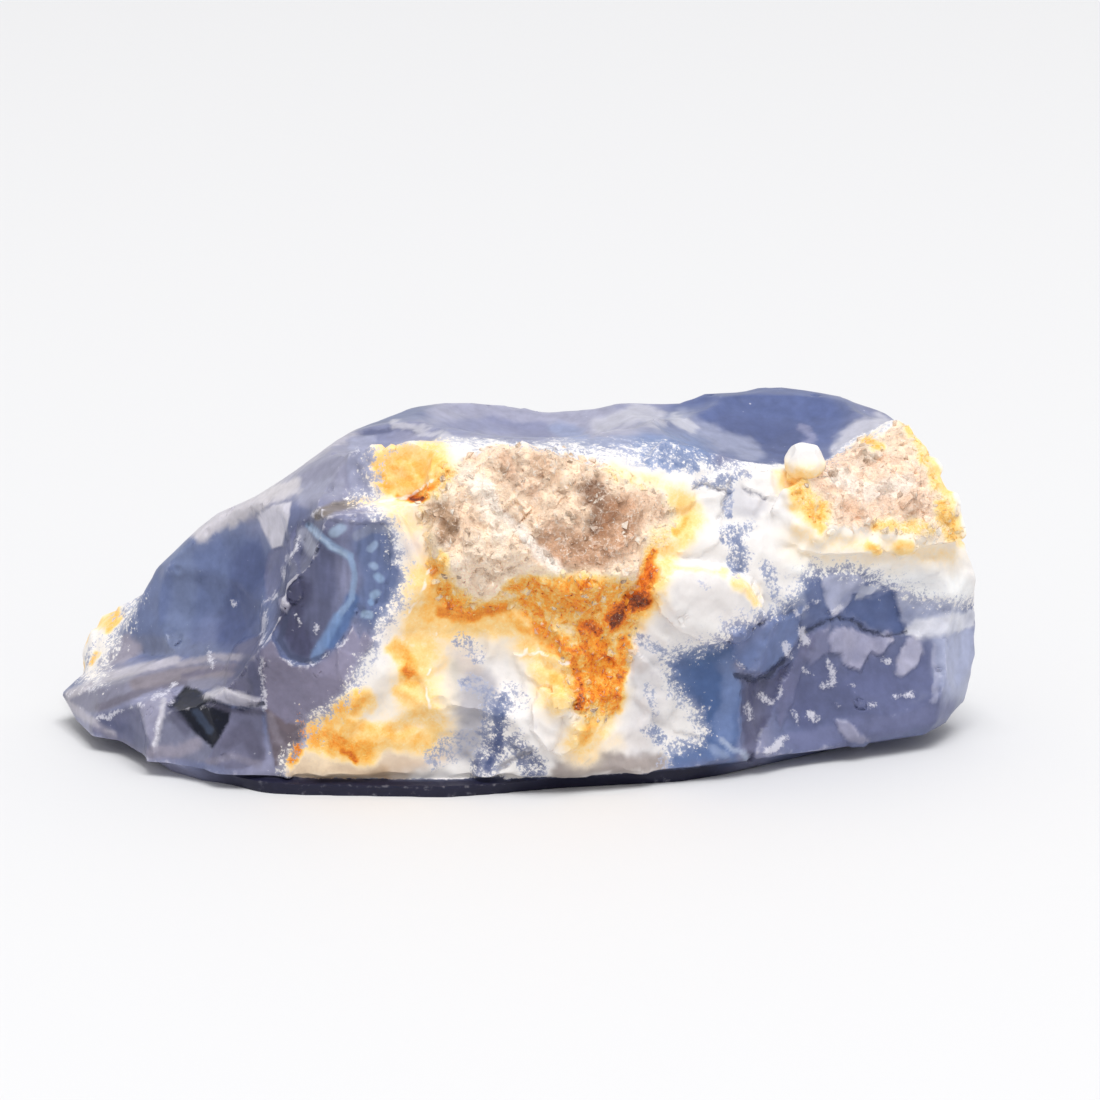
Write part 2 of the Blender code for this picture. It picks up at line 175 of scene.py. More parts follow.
# Colours, as red, green and blue of 255. The chalcedony's own colour is darker than it looks by the
# share below, because the white room's reflection is added to it.
BLUE_SHADE = 0.82
CRUST_SHADE = 0.85
QUARTZ_SHADE = 0.98
SLATE = (108, 118, 156)
LAVENDER = (156, 156, 184)
# The next colour is bruised stone and also a painted highlight on the sharp edges.
BRUISE_AND_EDGE_HIGHLIGHT = (212, 209, 217)
# The next colour darkens cracks, and is painted shade in hollows and in the crease under the step.
CRACK_AND_SHADE = (44, 50, 76)
CRUST_WHITE = (246, 242, 240)
QUARTZ_TAN = (246, 216, 188)

# Colours of the chalcedony in named places: colour, half width, strength, then points in pixels.
TINT_STROKES = {
    "scar_body": ((106, 120, 161), 50, 0.95, [(150, 615), (190, 585), (235, 570)]),
    "scar_right": ((80, 92, 136), 20, 0.85, [(252, 560), (244, 600), (236, 632)]),
    "scar_top": ((118, 130, 166), 11, 0.7, [(185, 545), (215, 528), (256, 516)]),
    "scar_foot": ((120, 128, 158), 11, 0.8, [(135, 645), (170, 646), (210, 652)]),
    "scar_left": ((122, 132, 168), 9, 0.7, [(170, 545), (140, 590), (118, 630)]),
    "scar_streak": ((128, 140, 172), 14, 0.5, [(182, 560), (184, 600), (176, 636)]),
    # The pale stroke where the great scar meets the ledge is a painted highlight.
    "ledge_highlight": ((160, 154, 168), 13, 0.9, [(92, 672), (112, 658), (128, 648)]),
    "upper_facet": ((150, 150, 173), 26, 0.95, [(250, 497), (300, 470), (330, 465), (345, 450)]),
    "upper_facet_low": ((160, 161, 184), 12, 0.9, [(305, 495), (335, 485)]),
    "bruised_band": ((216, 211, 217), 10, 0.9, [(198, 532), (240, 511), (272, 494), (292, 486)]),
    "bruise_upper": ((196, 192, 204), 5, 0.7, [(232, 504), (288, 470), (328, 446), (352, 434)]),
    "bruise_patch": ((214, 209, 214), 6, 0.7, [(262, 497), (290, 484)]),
    "top_left_dark": ((88, 94, 130), 4, 0.8, [(366, 436), (392, 426), (418, 430)]),
    "right_face": ((100, 106, 143), 42, 0.97, [(800, 690), (850, 690), (900, 685), (930, 680)]),
    "right_low": ((116, 121, 158), 14, 0.9, [(800, 742), (860, 733), (920, 718), (950, 712)]),
    "upper_right": ((108, 122, 166), 26, 0.95, [(812, 598), (860, 604), (896, 605)]),
    "right_end": ((178, 184, 212), 24, 0.9, [(938, 612), (958, 640), (960, 680)]),
    "right_streak": ((176, 178, 203), 3, 0.6, [(935, 645), (939, 670), (934, 700)]),
    "right_dark": ((92, 97, 134), 12, 0.6, [(800, 690), (806, 720)]),
    "right_dark_2": ((98, 104, 142), 10, 0.6, [(842, 690), (884, 680)]),
    "window": ((80, 108, 160), 26, 0.97, [(702, 675), (720, 700), (718, 740)]),
    "window_top": ((86, 112, 160), 12, 0.9, [(690, 655), (728, 652)]),
    "window_light": ((120, 140, 186), 10, 0.85, [(729, 662), (730, 700), (724, 738)]),
    "window_foot": ((104, 126, 174), 8, 0.8, [(700, 752), (732, 756)]),
    "window_shard": ((176, 188, 214), 3, 0.8, [(722, 742), (736, 752), (748, 758)]),
    "window_shard_2": ((150, 166, 202), 4, 0.8, [(712, 748), (728, 758)]),
    "right_hollow": ((93, 106, 152), 26, 0.95, [(690, 404), (760, 400), (800, 402), (820, 420)]),
    "right_hollow_low": ((84, 95, 138), 20, 0.9, [(730, 432), (760, 436), (795, 444)]),
    "right_hollow_light": ((156, 161, 188), 11, 0.85, [(680, 418), (712, 436), (752, 452)]),
    "hollow_shine": ((204, 204, 216), 6, 0.8, [(676, 420), (694, 428)]),
    "hollow_shine_2": ((150, 152, 184), 5, 0.7, [(800, 428), (812, 438), (806, 446)]),
    "right_hollow_rim": ((200, 199, 211), 9, 0.85, [(838, 448), (856, 430), (880, 421)]),
    "left_hollow": ((168, 168, 190), 26, 0.95, [(450, 410), (540, 420), (620, 425)]),
    "left_hollow_dark": ((138, 142, 176), 9, 0.8, [(440, 430), (490, 424), (545, 432)]),
    "left_hollow_blue": ((148, 160, 197), 9, 0.7, [(560, 430), (590, 444), (640, 446)]),
    "mid_light": ((198, 197, 210), 9, 0.8, [(600, 425), (640, 412), (660, 420)]),
    "hollow_edge": ((204, 202, 214), 4, 0.8, [(392, 424), (430, 431), (468, 446)]),
    "knob": ((122, 142, 186), 26, 0.95, [(655, 455), (690, 462)]),
    "low_blue": ((74, 88, 134), 34, 0.95, [(480, 745), (510, 735), (530, 760)]),
    "mid_blue": ((104, 118, 158), 34, 0.9, [(470, 660), (490, 700)]),
    "slope_blue": ((112, 130, 174), 34, 0.9, [(735, 500), (740, 560), (775, 585)]),
    "slope_blue_low": ((98, 120, 166), 30, 0.9, [(660, 660), (668, 710), (680, 745)]),
    "step_side": ((168, 176, 204), 7, 0.7, [(797, 588), (801, 612)]),
    "low_left_blue": ((130, 138, 166), 22, 0.8, [(420, 765), (450, 750)]),
}

# The eye lobe's own colours, crisper than the rest.
LOBE_STROKES = {
    "lobe": ((96, 99, 128), 32, 0.97, [(312, 545), (306, 590), (312, 630)]),
    "lobe_right": ((106, 120, 160), 24, 0.97, [(374, 545), (382, 580), (374, 606)]),
    "lobe_dark": ((70, 70, 98), 14, 0.85, [(300, 590), (288, 618), (302, 646)]),
    "lobe_dark_mid": ((96, 100, 132), 11, 0.8, [(322, 556), (328, 590)]),
    "lobe_blue": ((88, 116, 166), 8, 0.9, [(352, 600), (344, 622), (330, 642)]),
    "lobe_band": ((150, 174, 208), 4.4, 0.75, [(309, 526), (330, 545), (350, 556)]),
    "lobe_band_core": ((178, 198, 224), 2, 0.7, [(310, 528), (331, 547), (351, 558)]),
    "lobe_band_down": ((150, 174, 210), 3.4, 0.8, [(350, 556), (355, 573), (352, 598), (335, 621)]),
    "lobe_band_foot": ((122, 150, 194), 6, 0.75, [(338, 618), (326, 638), (316, 658)]),
    "lobe_spot_1": ((166, 184, 210), 5.6, 0.9, [(334, 533), (341, 528)]),
    "lobe_spot_2": ((160, 180, 212), 3.9, 0.85, [(371, 549), (375, 544)]),
    "lobe_spot_3": ((160, 180, 212), 3.8, 0.85, [(373, 565), (375, 567)]),
    "lobe_spot_4": ((152, 176, 210), 4.2, 0.85, [(377, 577), (380, 579)]),
    "lobe_spot_5": ((158, 182, 214), 4.6, 0.85, [(373, 596), (376, 594)]),
    "lobe_spot_6": ((140, 168, 208), 3.0, 0.85, [(370, 602), (371, 603)]),
    "lobe_spot_7": ((162, 184, 214), 4.0, 0.85, [(364, 614), (370, 615)]),
    "lobe_top_light": ((166, 168, 186), 7, 0.75, [(303, 534), (312, 550)]),
    "lobe_amber": ((132, 118, 92), 6, 0.7, [(318, 515), (334, 507), (352, 504)]),
    "lobe_haze": ((150, 154, 172), 5, 0.5, [(356, 536), (372, 528), (388, 530)]),
    "lobe_edge_dark": ((70, 76, 104), 3, 0.7, [(288, 612), (280, 640), (290, 656), (310, 662), (326, 656)]),
}

# Streaks on the ledge and the shards at the left.
LEDGE_STROKES = {
    "ledge_light": ((200, 194, 202), 5, 0.8, [(70, 694), (104, 678), (140, 668), (176, 660)]),
    "ledge_dark": ((112, 107, 124), 4, 0.8, [(98, 708), (128, 696), (160, 686), (184, 682)]),
    "ledge_brown": ((142, 132, 138), 7, 0.7, [(136, 684), (180, 674), (236, 670)]),
    "ledge_light_right": ((176, 170, 180), 3.5, 0.7, [(180, 664), (214, 656), (252, 658)]),
    "ledge_dark_right": ((104, 100, 124), 3, 0.7, [(184, 676), (222, 668), (250, 672)]),
    "tip_light": ((196, 190, 198), 5, 0.7, [(66, 704), (84, 716), (112, 734)]),
    "tip_dark": ((120, 118, 142), 4, 0.7, [(92, 728), (120, 742), (150, 756)]),
    "shard_left_dark": ((94, 98, 130), 6, 0.8, [(104, 722), (128, 730), (140, 744)]),
    # The bright line down the shard's edge is a painted highlight.
    "shard_edge_highlight": ((206, 203, 214), 3, 0.85, [(164, 700), (160, 722), (155, 748)]),
    "shard_grey_light": ((160, 154, 170), 7, 0.8, [(152, 752), (178, 752), (196, 744)]),
    "shard_grey_dark": ((96, 96, 120), 6, 0.7, [(172, 712), (186, 730)]),
    "tooth_light": ((206, 202, 210), 3, 0.85, [(206, 696), (224, 690), (248, 697)]),
    "tooth_shadow": ((84, 82, 104), 3, 0.8, [(208, 704), (236, 711), (262, 713)]),
    "chunk_dark": ((86, 88, 116), 7, 0.8, [(240, 672), (248, 660), (258, 690)]),
    "front_dark": ((92, 90, 112), 9, 0.7, [(228, 742), (246, 728), (256, 752)]),
    "front_light": ((140, 136, 154), 4, 0.6, [(208, 762), (232, 756), (258, 764)]),
    "quad_glint": ((66, 82, 112), 4, 0.6, [(196, 712), (210, 730)]),
    "foot_left_light": ((150, 142, 156), 4, 0.6, [(270, 716), (280, 744)]),
}

# Pieces of the chalcedony: colour, strength, how far they stand out in millimetres, the outline in pixels.
# The shards at the left have straight borders, and the flakes have ragged ones.
SHARDS = {
    "ledge": ((136, 134, 152), 0.85, 0.0, [
        (60, 696), (90, 686), (130, 672), (175, 664), (230, 655), (262, 664), (262, 690), (205, 690),
        (170, 682), (100, 714), (75, 708),
    ]),
    "scar_facet_light": ((226, 222, 233), 0.9, 0.0, [
        (257, 516), (274, 505), (291, 502), (288, 522), (282, 545), (273, 549), (264, 533),
    ]),
    "scar_facet_dark": ((120, 123, 158), 0.85, -0.08, [
        (273, 549), (284, 546), (297, 524), (293, 552), (284, 568), (278, 592), (267, 604), (264, 575),
        (268, 556),
    ]),
    "slab": ((162, 165, 192), 0.8, 0.10, [
        (349, 437), (376, 436), (372, 470), (373, 498), (352, 500), (347, 470),
    ]),
    "lobe_hollow": ((88, 90, 120), 0.0, -0.15, [
        (303, 523), (316, 516), (345, 522), (386, 524), (392, 545), (389, 575), (382, 598), (366, 618),
        (352, 628), (337, 646), (327, 656), (314, 664), (295, 664), (281, 655), (272, 632), (287, 606),
        (303, 600), (296, 560),
    ]),
    "lobe_nub": ((166, 163, 183), 0.9, 0.15, [(279, 598), (286, 596), (290, 606), (286, 613), (280, 608)]),
    "under_lobe": ((140, 134, 157), 0.9, 0.05, [
        (262, 650), (272, 640), (281, 657), (294, 666), (314, 666), (328, 658), (340, 648), (352, 655),
        (352, 690), (330, 712), (306, 722), (288, 735), (268, 716), (262, 690),
    ]),
    "lobe_teeth": ((152, 147, 172), 0.85, 0.12, [
        (338, 648), (345, 640), (353, 626), (359, 640), (364, 631), (374, 640), (360, 662), (347, 688),
        (338, 676),
    ]),
    "left_chunk": ((108, 107, 134), 0.9, 0.15, [
        (227, 668), (236, 646), (262, 633), (264, 700), (246, 704), (226, 698),
    ]),
    "chunk_tooth": ((178, 175, 188), 0.9, 0.20, [
        (203, 697), (218, 686), (240, 693), (262, 698), (263, 708), (240, 707), (222, 703),
    ]),
    "shard_left": ((112, 114, 144), 0.9, 0.0, [
        (92, 716), (140, 704), (146, 722), (152, 752), (128, 747), (108, 738),
    ]),
    "shard_bright": ((158, 156, 180), 0.9, 0.15, [
        (138, 704), (170, 690), (175, 698), (163, 716), (158, 742), (154, 755), (146, 730),
    ]),
    "shard_grey": ((124, 125, 147), 0.9, 0.05, [
        (166, 704), (196, 723), (213, 748), (206, 764), (175, 758), (156, 752), (160, 728),
    ]),
    "shard_front": ((112, 111, 136), 0.9, 0.05, [
        (213, 748), (231, 710), (262, 706), (266, 760), (240, 770), (206, 764),
    ]),
    "foot_left": ((112, 99, 106), 0.9, 0.10, [
        (264, 706), (285, 722), (304, 722), (300, 745), (290, 776), (274, 764),
    ]),
    "dark_quad": ((9, 15, 34), 1.0, -0.05, [
        (186, 685), (168, 706), (184, 724), (213, 748), (221, 735), (229, 722), (231, 706), (212, 700),
        (201, 690),
    ]),
}
RELIEF_ONLY = (0, 0, 0)
FLAKES = {
    "flake_a": ((192, 195, 220), 0.9, 0.15, [
        (821, 576), (846, 572), (868, 580), (858, 593), (842, 613), (832, 617), (824, 600),
    ]),
    "facet_b": ((90, 107, 155), 0.9, -0.10, [
        (852, 592), (870, 598), (892, 590), (901, 612), (905, 630), (880, 634), (862, 621), (847, 612),
    ]),
    "chip_b": ((218, 220, 234), 0.9, 0.10, [(856, 599), (861, 588), (878, 584), (881, 590), (868, 597)]),
    "flake_c_left": ((138, 139, 171), 0.85, 0.10, [
        (803, 634), (828, 626), (832, 650), (812, 664), (800, 655),
    ]),
    "flake_c": ((184, 182, 208), 0.9, 0.20, [
        (828, 640), (834, 628), (850, 628), (872, 636), (889, 628), (893, 640), (881, 655), (869, 652),
        (859, 672), (846, 664), (838, 653), (830, 652),
    ]),
    "flake_d": ((196, 194, 216), 0.9, 0.15, [
        (905, 641), (918, 634), (923, 650), (917, 666), (905, 677), (895, 674), (898, 656),
    ]),
    "flake_e": ((188, 192, 216), 0.9, 0.10, [
        (893, 586), (910, 590), (926, 605), (914, 624), (905, 630), (898, 606),
    ]),
    "end_band": ((240, 240, 248), 0.9, 0.05, [
        (903, 632), (916, 620), (946, 614), (976, 611), (976, 626), (940, 636), (915, 640),
    ]),
    "fin": ((168, 167, 191), 0.9, 0.15, [
        (835, 720), (848, 722), (861, 735), (869, 743), (852, 743), (840, 732),
    ]),
    "step_block": ((114, 131, 177), 0.95, 0.25, [
        (728, 628), (760, 624), (792, 612), (803, 606), (796, 640), (785, 658), (768, 673), (745, 672),
        (734, 655),
    ]),
    "pocket": ((84, 84, 114), 0.9, -0.20, [
        (741, 680), (770, 680), (790, 662), (776, 700), (762, 735), (752, 762), (742, 745),
    ]),
    "diagonal": ((116, 117, 150), 0.85, 0.10, [
        (776, 706), (784, 680), (800, 645), (812, 630), (818, 640), (806, 662), (792, 700), (780, 730),
    ]),
    "front_flake": (RELIEF_ONLY, 0.0, 0.30, [
        (541, 688), (568, 700), (576, 722), (578, 745), (562, 757), (545, 746), (531, 730), (534, 706),
    ]),
    "cream_flake": (RELIEF_ONLY, 0.0, 0.18, [
        (514, 656), (530, 650), (552, 654), (571, 664), (562, 690), (541, 687), (521, 672),
    ]),
    "yellow_flake": (RELIEF_ONLY, 0.0, 0.14, [
        (522, 652), (529, 638), (546, 620), (562, 632), (568, 656), (546, 650),
    ]),
    "big_flake": (RELIEF_ONLY, 0.0, 0.35, [
        (655, 585), (672, 572), (704, 568), (744, 584), (764, 616), (742, 634), (706, 642), (676, 626),
        (656, 606),
    ]),
    "right_flake": (RELIEF_ONLY, 0.0, 0.15, [
        (690, 500), (716, 492), (724, 512), (718, 540), (700, 556), (676, 552), (690, 528),
    ]),
    "slope_plate": (RELIEF_ONLY, 0.0, 0.15, [
        (630, 646), (662, 672), (690, 712), (702, 736), (676, 730), (636, 700),
    ]),
}

# White chips and specks on the blue: half width, then points in pixels.
WHITE_CHIPS = {
    "chip_1": (5.0, [(801, 630), (805, 641)]),
    "chip_2": (4.0, [(784, 643), (788, 655)]),
    "chip_3": (2.6, [(829, 661), (834, 682)]),
    "chip_4": (3.0, [(822, 686), (832, 684)]),
    "chip_5": (5.0, [(811, 714), (815, 718)]),
    "chip_6": (2.4, [(794, 712), (796, 722)]),
    "chip_7": (2.6, [(747, 706), (750, 719)]),
    "chip_8": (4.0, [(768, 751), (780, 745)]),
    "chip_9": (3.2, [(778, 742), (786, 739)]),
    "chip_10": (2.0, [(814, 602), (818, 602)]),
    "chip_11": (2.2, [(804, 610), (808, 608)]),
    "chip_12": (2.8, [(883, 659), (890, 662)]),
    "chip_13": (2.0, [(850, 686), (854, 686)]),
    "chip_14": (2.8, [(832, 613), (841, 606)]),
    "chip_15": (2.4, [(795, 612), (797, 616)]),
    "chip_16": (2.2, [(870, 706), (873, 704)]),
    "chip_17": (2.2, [(806, 668), (808, 672)]),
    "chip_18": (2.0, [(836, 704), (838, 705)]),
    "chip_19": (2.4, [(760, 696), (768, 700)]),
    "chip_20": (2.0, [(895, 697), (912, 694)]),
    "left_fleck_1": (1.8, [(208, 650), (214, 668)]),
    "left_fleck_2": (1.8, [(296, 616), (299, 622)]),
    "left_fleck_3": (1.6, [(318, 624), (316, 632)]),
    "left_fleck_4": (2.2, [(352, 454), (358, 450)]),
    "left_fleck_5": (1.8, [(232, 600), (236, 604)]),
}

# Bright rims along the edges, partly bruised stone and partly painted edge highlights, and dark cracks
# with a painted shadow line under the step: half width, then points in pixels.
RIMS = {
    "ledge_line": (2.6, [(95, 719), (118, 713), (145, 703), (166, 692), (176, 684)]),
    "ledge_tip": (2.2, [(64, 697), (80, 691), (104, 688)]),
    "lobe_rim": (2.0, [(303, 521), (299, 535), (296, 548), (288, 558), (285, 566)]),
    "lobe_ridge": (2.8, [(284, 566), (281, 585), (275, 597), (266, 604), (264, 622), (262, 640)]),
    "lobe_ridge_low": (2.0, [(262, 640), (262, 665), (265, 700), (263, 720)]),
    "lobe_top": (1.8, [(303, 522), (318, 510), (338, 499), (352, 500)]),
    "thumbnail": (1.4, [(281, 656), (294, 665), (314, 665), (328, 657), (338, 647), (346, 640)]),
    "shard_edge": (1.6, [(154, 752), (158, 730), (163, 714), (174, 698)]),
    "flake_crack": (1.6, [(540, 624), (530, 640), (523, 656)]),
    "flake_crack_low": (1.5, [(514, 656), (540, 652), (562, 662), (572, 663), (566, 680), (552, 690)]),
    "cream_arc": (1.5, [(437, 632), (432, 660), (427, 688), (430, 712)]),
    "crest_line": (1.6, [(372, 503), (395, 500), (415, 492), (432, 480)]),
    "plate_foot": (1.5, [(432, 563), (422, 590), (404, 618)]),
    "diagonal_rim": (1.6, [(764, 704), (778, 700), (786, 676), (800, 645)]),
    "step_rim": (1.4, [(728, 628), (735, 655), (745, 672)]),
}
# Dark cracks. The line under the step block is a painted shadow in the crease below it.
CRACKS_AND_SHADOW_LINE = {
    "under_flakes": (2.0, [
        (806, 630), (822, 621), (838, 616), (852, 621), (864, 629), (884, 635), (906, 632),
    ]),
    "shadow_under_step": (3.4, [(737, 675), (752, 679), (766, 677), (784, 660)]),
    "knob_crack": (1.0, [(694, 488), (704, 486), (716, 490), (731, 495)]),
    "knob_crack_down": (1.4, [(727, 495), (724, 506), (720, 518)]),
    "knob_crack_right": (1.8, [(744, 489), (764, 499)]),
    "foot_crack": (3.0, [(500, 770), (512, 758), (530, 750)]),
    "chunk_crack": (1.8, [(240, 708), (262, 704)]),
}

# The lobe shows fine upright streaks, as a share of its colour. The stretch is in waves per millimetre.
LOBE_OUTLINE = [
    (303, 524), (345, 510), (392, 524), (396, 575), (386, 600), (352, 630), (314, 664), (282, 655),
]
STREAKS = 0.22
STREAK_STRETCH = np.array([5.0, 5.0, 0.8])

# Where the surface is made finer for the lobe's markings.
LOBE_AREA = [(262, 500), (352, 496), (405, 510), (412, 600), (370, 668), (262, 668)]

# The outline of the crust on the front.
CRUST_OUTLINE = [
    (376, 440), (373, 470), (374, 497), (352, 501), (372, 513), (390, 521), (398, 545), (405, 573),
    (399, 602), (384, 624), (372, 650), (352, 688), (330, 712), (306, 722), (303, 745), (285, 757),
    (280, 800), (662, 800), (668, 752), (680, 741), (697, 738), (706, 728), (690, 708), (675, 688),
    (664, 666), (672, 653), (702, 646), (720, 636), (733, 622), (765, 614), (792, 600), (803, 580),
    (814, 570), (845, 569), (875, 577), (905, 592), (950, 604), (1010, 604), (1010, 480), (940, 415),
    (905, 408), (878, 425), (842, 444), (822, 462), (822, 448), (805, 436), (787, 446), (780, 455),
    (740, 461), (712, 470), (690, 456), (655, 448), (640, 452), (600, 452), (560, 444), (500, 434),
    (470, 441), (420, 435),
]

# The rind that shows behind the great scar at the left end.
RIND_OUTLINE = [
    (80, 676), (86, 650), (98, 616), (114, 600), (134, 598), (128, 616), (116, 638), (106, 660), (98, 680),
]

# Where the blue shows through the crust: half width, how deep below it, points in pixels.
SHOW_THROUGH = {
    "knob": (20, 6, [(655, 455), (690, 460)]),
    "knob_edge": (7, 1, [(700, 484), (728, 488), (728, 512)]),
    "slope_top": (9, 0, [(720, 480), (745, 476)]),
    "slope_speckle": (15, 3, [(728, 534), (742, 552), (738, 566)]),
    "slope_speckle_low": (12, 1, [(766, 568), (776, 594)]),
    "slope_speckle_mid": (9, -1, [(752, 526), (740, 540)]),
    "low_blue": (22, 3, [(486, 768), (492, 738), (500, 706)]),
    "low_blue_right": (17, 3, [(515, 742), (532, 768)]),
    "low_blue_top": (15, 0, [(470, 684), (498, 700)]),
    "low_blue_left": (19, -1, [(436, 758), (466, 740)]),
    "mid_speckle": (12, -2, [(462, 640), (478, 656)]),
    "low_blue_core": (8, 9, [(490, 768), (498, 740), (504, 700)]),
    "mid_speckle_2": (10, -3, [(508, 684), (524, 704)]),
    "slope_frost": (10, -1, [(640, 640), (660, 652)]),
    "slope_frost_2": (9, -4, [(650, 690), (656, 712)]),
    "slope_frost_3": (12, 1, [(650, 730), (666, 742)]),
    "white_dimple": (7, -4, [(700, 580), (706, 588)]),
}

# Stain: half width, strength from cream (0.2) through yellow and orange to dark rust (1.5), points in pixels.
STAIN_STROKES = {
    "yellow_patch": (25, 0.64, [(396, 464), (412, 474), (428, 466)]),
    "yellow_patch_low": (8, 0.68, [(386, 488), (402, 484), (424, 474)]),
    "yellow_patch_left": (8, 0.70, [(386, 462), (382, 484)]),
    "yellow_rim": (6, 0.34, [(340, 504), (380, 503), (412, 500)]),
    "yellow_rim_low": (16, 0.34, [(398, 512), (412, 524)]),
    "red_spot": (5, 1.70, [(414, 498), (423, 500)]),
    "red_spot_line": (3, 0.9, [(396, 497), (414, 495), (440, 480)]),
    "plate_left": (10, 0.30, [(420, 512), (426, 535), (430, 562)]),
    "yellow_streak": (11, 0.66, [(440, 564), (432, 592), (428, 616)]),
    "streak_glow": (26, 0.46, [(428, 580), (424, 630), (418, 680), (428, 726)]),
    "lower_line": (8, 0.95, [(440, 612), (455, 618), (480, 610), (505, 606)]),
    "lower_glow": (20, 0.52, [(446, 622), (480, 620), (520, 620)]),
    "quartz_foot": (13, 0.85, [(446, 594), (460, 604), (452, 616)]),
    "rust_area": (24, 0.80, [(535, 604), (570, 600), (600, 602), (625, 608)]),
    "rust_area_top": (9, 0.80, [(512, 586), (545, 584), (580, 586), (615, 590)]),
    "rust_deep_1": (11, 1.60, [(612, 618), (626, 606), (640, 598)]),
    "rust_deep_2": (8, 1.30, [(582, 624), (596, 632)]),
    "rust_deep_3": (7, 1.20, [(644, 592), (648, 574)]),
    "rust_deep_4": (7, 1.20, [(600, 648), (612, 664)]),
    "rust_streak": (6, 1.05, [(646, 584), (650, 562), (654, 552)]),
    "rust_glow": (18, 0.44, [(650, 600), (660, 565), (668, 542)]),
    "tongue": (22, 0.94, [(590, 636), (598, 665), (600, 692)]),
    "tongue_left": (7, 1.10, [(574, 650), (577, 680), (584, 706)]),
    "tongue_right": (7, 1.00, [(622, 640), (620, 670), (612, 708)]),
    "tongue_glow": (22, 0.42, [(600, 690), (594, 730), (580, 745)]),
    "tongue_tip": (8, 0.72, [(592, 722), (586, 738)]),
    "flake_glow": (26, 0.50, [(524, 624), (545, 650), (560, 690)]),
    "flake_bright": (12, 0.86, [(534, 622), (550, 636), (566, 652)]),
    "flake_bright_low": (8, 0.66, [(556, 678), (572, 690)]),
    "flake_edge": (6, 0.72, [(508, 612), (518, 630), (536, 634)]),
    "right_lobe": (16, 0.50, [(682, 502), (690, 520), (682, 534)]),
    "right_lobe_spot": (5, 0.74, [(674, 532), (686, 518)]),
    "right_lobe_top": (10, 0.34, [(610, 470), (640, 480), (684, 494)]),
    "right_lobe_low": (12, 0.34, [(655, 562), (678, 545)]),
    "flake_tip": (7, 0.42, [(738, 582), (748, 590), (756, 602)]),
    "flake_line": (4, 0.34, [(664, 570), (700, 568), (726, 574)]),
    "low_left_wide": (46, 0.24, [(318, 750), (360, 728), (408, 706)]),
    "low_left": (14, 0.80, [(316, 736), (345, 742), (366, 750)]),
    "low_left_right": (16, 0.56, [(366, 738), (400, 734), (420, 742)]),
    "low_left_deep": (4, 1.15, [(344, 750), (352, 752), (356, 758)]),
    "low_left_2": (11, 0.68, [(340, 712), (356, 704), (364, 700)]),
    "low_left_3": (11, 0.70, [(398, 648), (408, 665), (412, 682)]),
    "low_left_spot": (5, 1.15, [(405, 668), (410, 672)]),
    "low_left_7": (10, 0.55, [(402, 692), (420, 714)]),
    "low_left_6": (8, 0.62, [(330, 722), (362, 726), (392, 736)]),
    "low_left_edge": (6, 0.95, [(300, 715), (300, 738), (293, 760)]),
    "low_centre": (12, 0.26, [(570, 746), (600, 748), (618, 742)]),
    "shoulder_rim": (13, 0.31, [(800, 534), (840, 543), (870, 547), (905, 549), (950, 556)]),
    "shoulder_rim_spot": (6, 0.60, [(868, 545), (876, 548)]),
    "shoulder_rim_spot_2": (7, 0.55, [(896, 548), (910, 548)]),
    "shoulder_glow": (24, 0.26, [(800, 545), (870, 552), (950, 552)]),
    "shoulder_spot": (9, 0.54, [(942, 504), (952, 520), (954, 534)]),
    "shoulder_left": (14, 0.58, [(795, 480), (800, 500), (816, 515)]),
    "shoulder_left_spot": (6, 0.62, [(810, 514), (822, 530)]),
    "shoulder_edge": (8, 0.46, [(905, 418), (925, 455), (945, 490), (962, 540)]),
    "shoulder_patch": (6, 0.62, [(868, 440), (876, 446)]),
    "shoulder_front": (8, 0.46, [(880, 526), (930, 528)]),
    "nodule_foot": (8, 0.34, [(782, 474), (796, 486)]),
}
RIND_STROKES = {
    "rind_cream": (20, 0.16, [(118, 612), (104, 640), (94, 668)]),
    "rind_orange": (6, 0.62, [(108, 628), (118, 614)]),
    "rind_orange_low": (4, 0.58, [(94, 652), (91, 662)]),
}

# Quartz, as outlines in pixels.
QUARTZ_OUTLINES = {
    "plate": [
        (441, 470), (455, 462), (478, 452), (498, 443), (530, 445), (560, 453), (590, 460), (612, 470),
        (640, 484), (664, 494), (676, 510), (672, 530), (664, 545), (654, 560), (648, 590), (644, 618),
        (632, 650), (624, 695), (612, 716), (592, 722), (574, 710), (564, 688), (560, 652), (540, 630),
        (514, 606), (490, 604), (465, 612), (446, 606), (432, 575), (426, 540), (420, 512), (427, 490),
    ],
    "shoulder": [
        (798, 480), (815, 464), (845, 448), (880, 433), (905, 419), (922, 450), (940, 483), (956, 515),
        (962, 535), (940, 541), (900, 536), (860, 531), (825, 524), (802, 512), (792, 495),
    ],
}

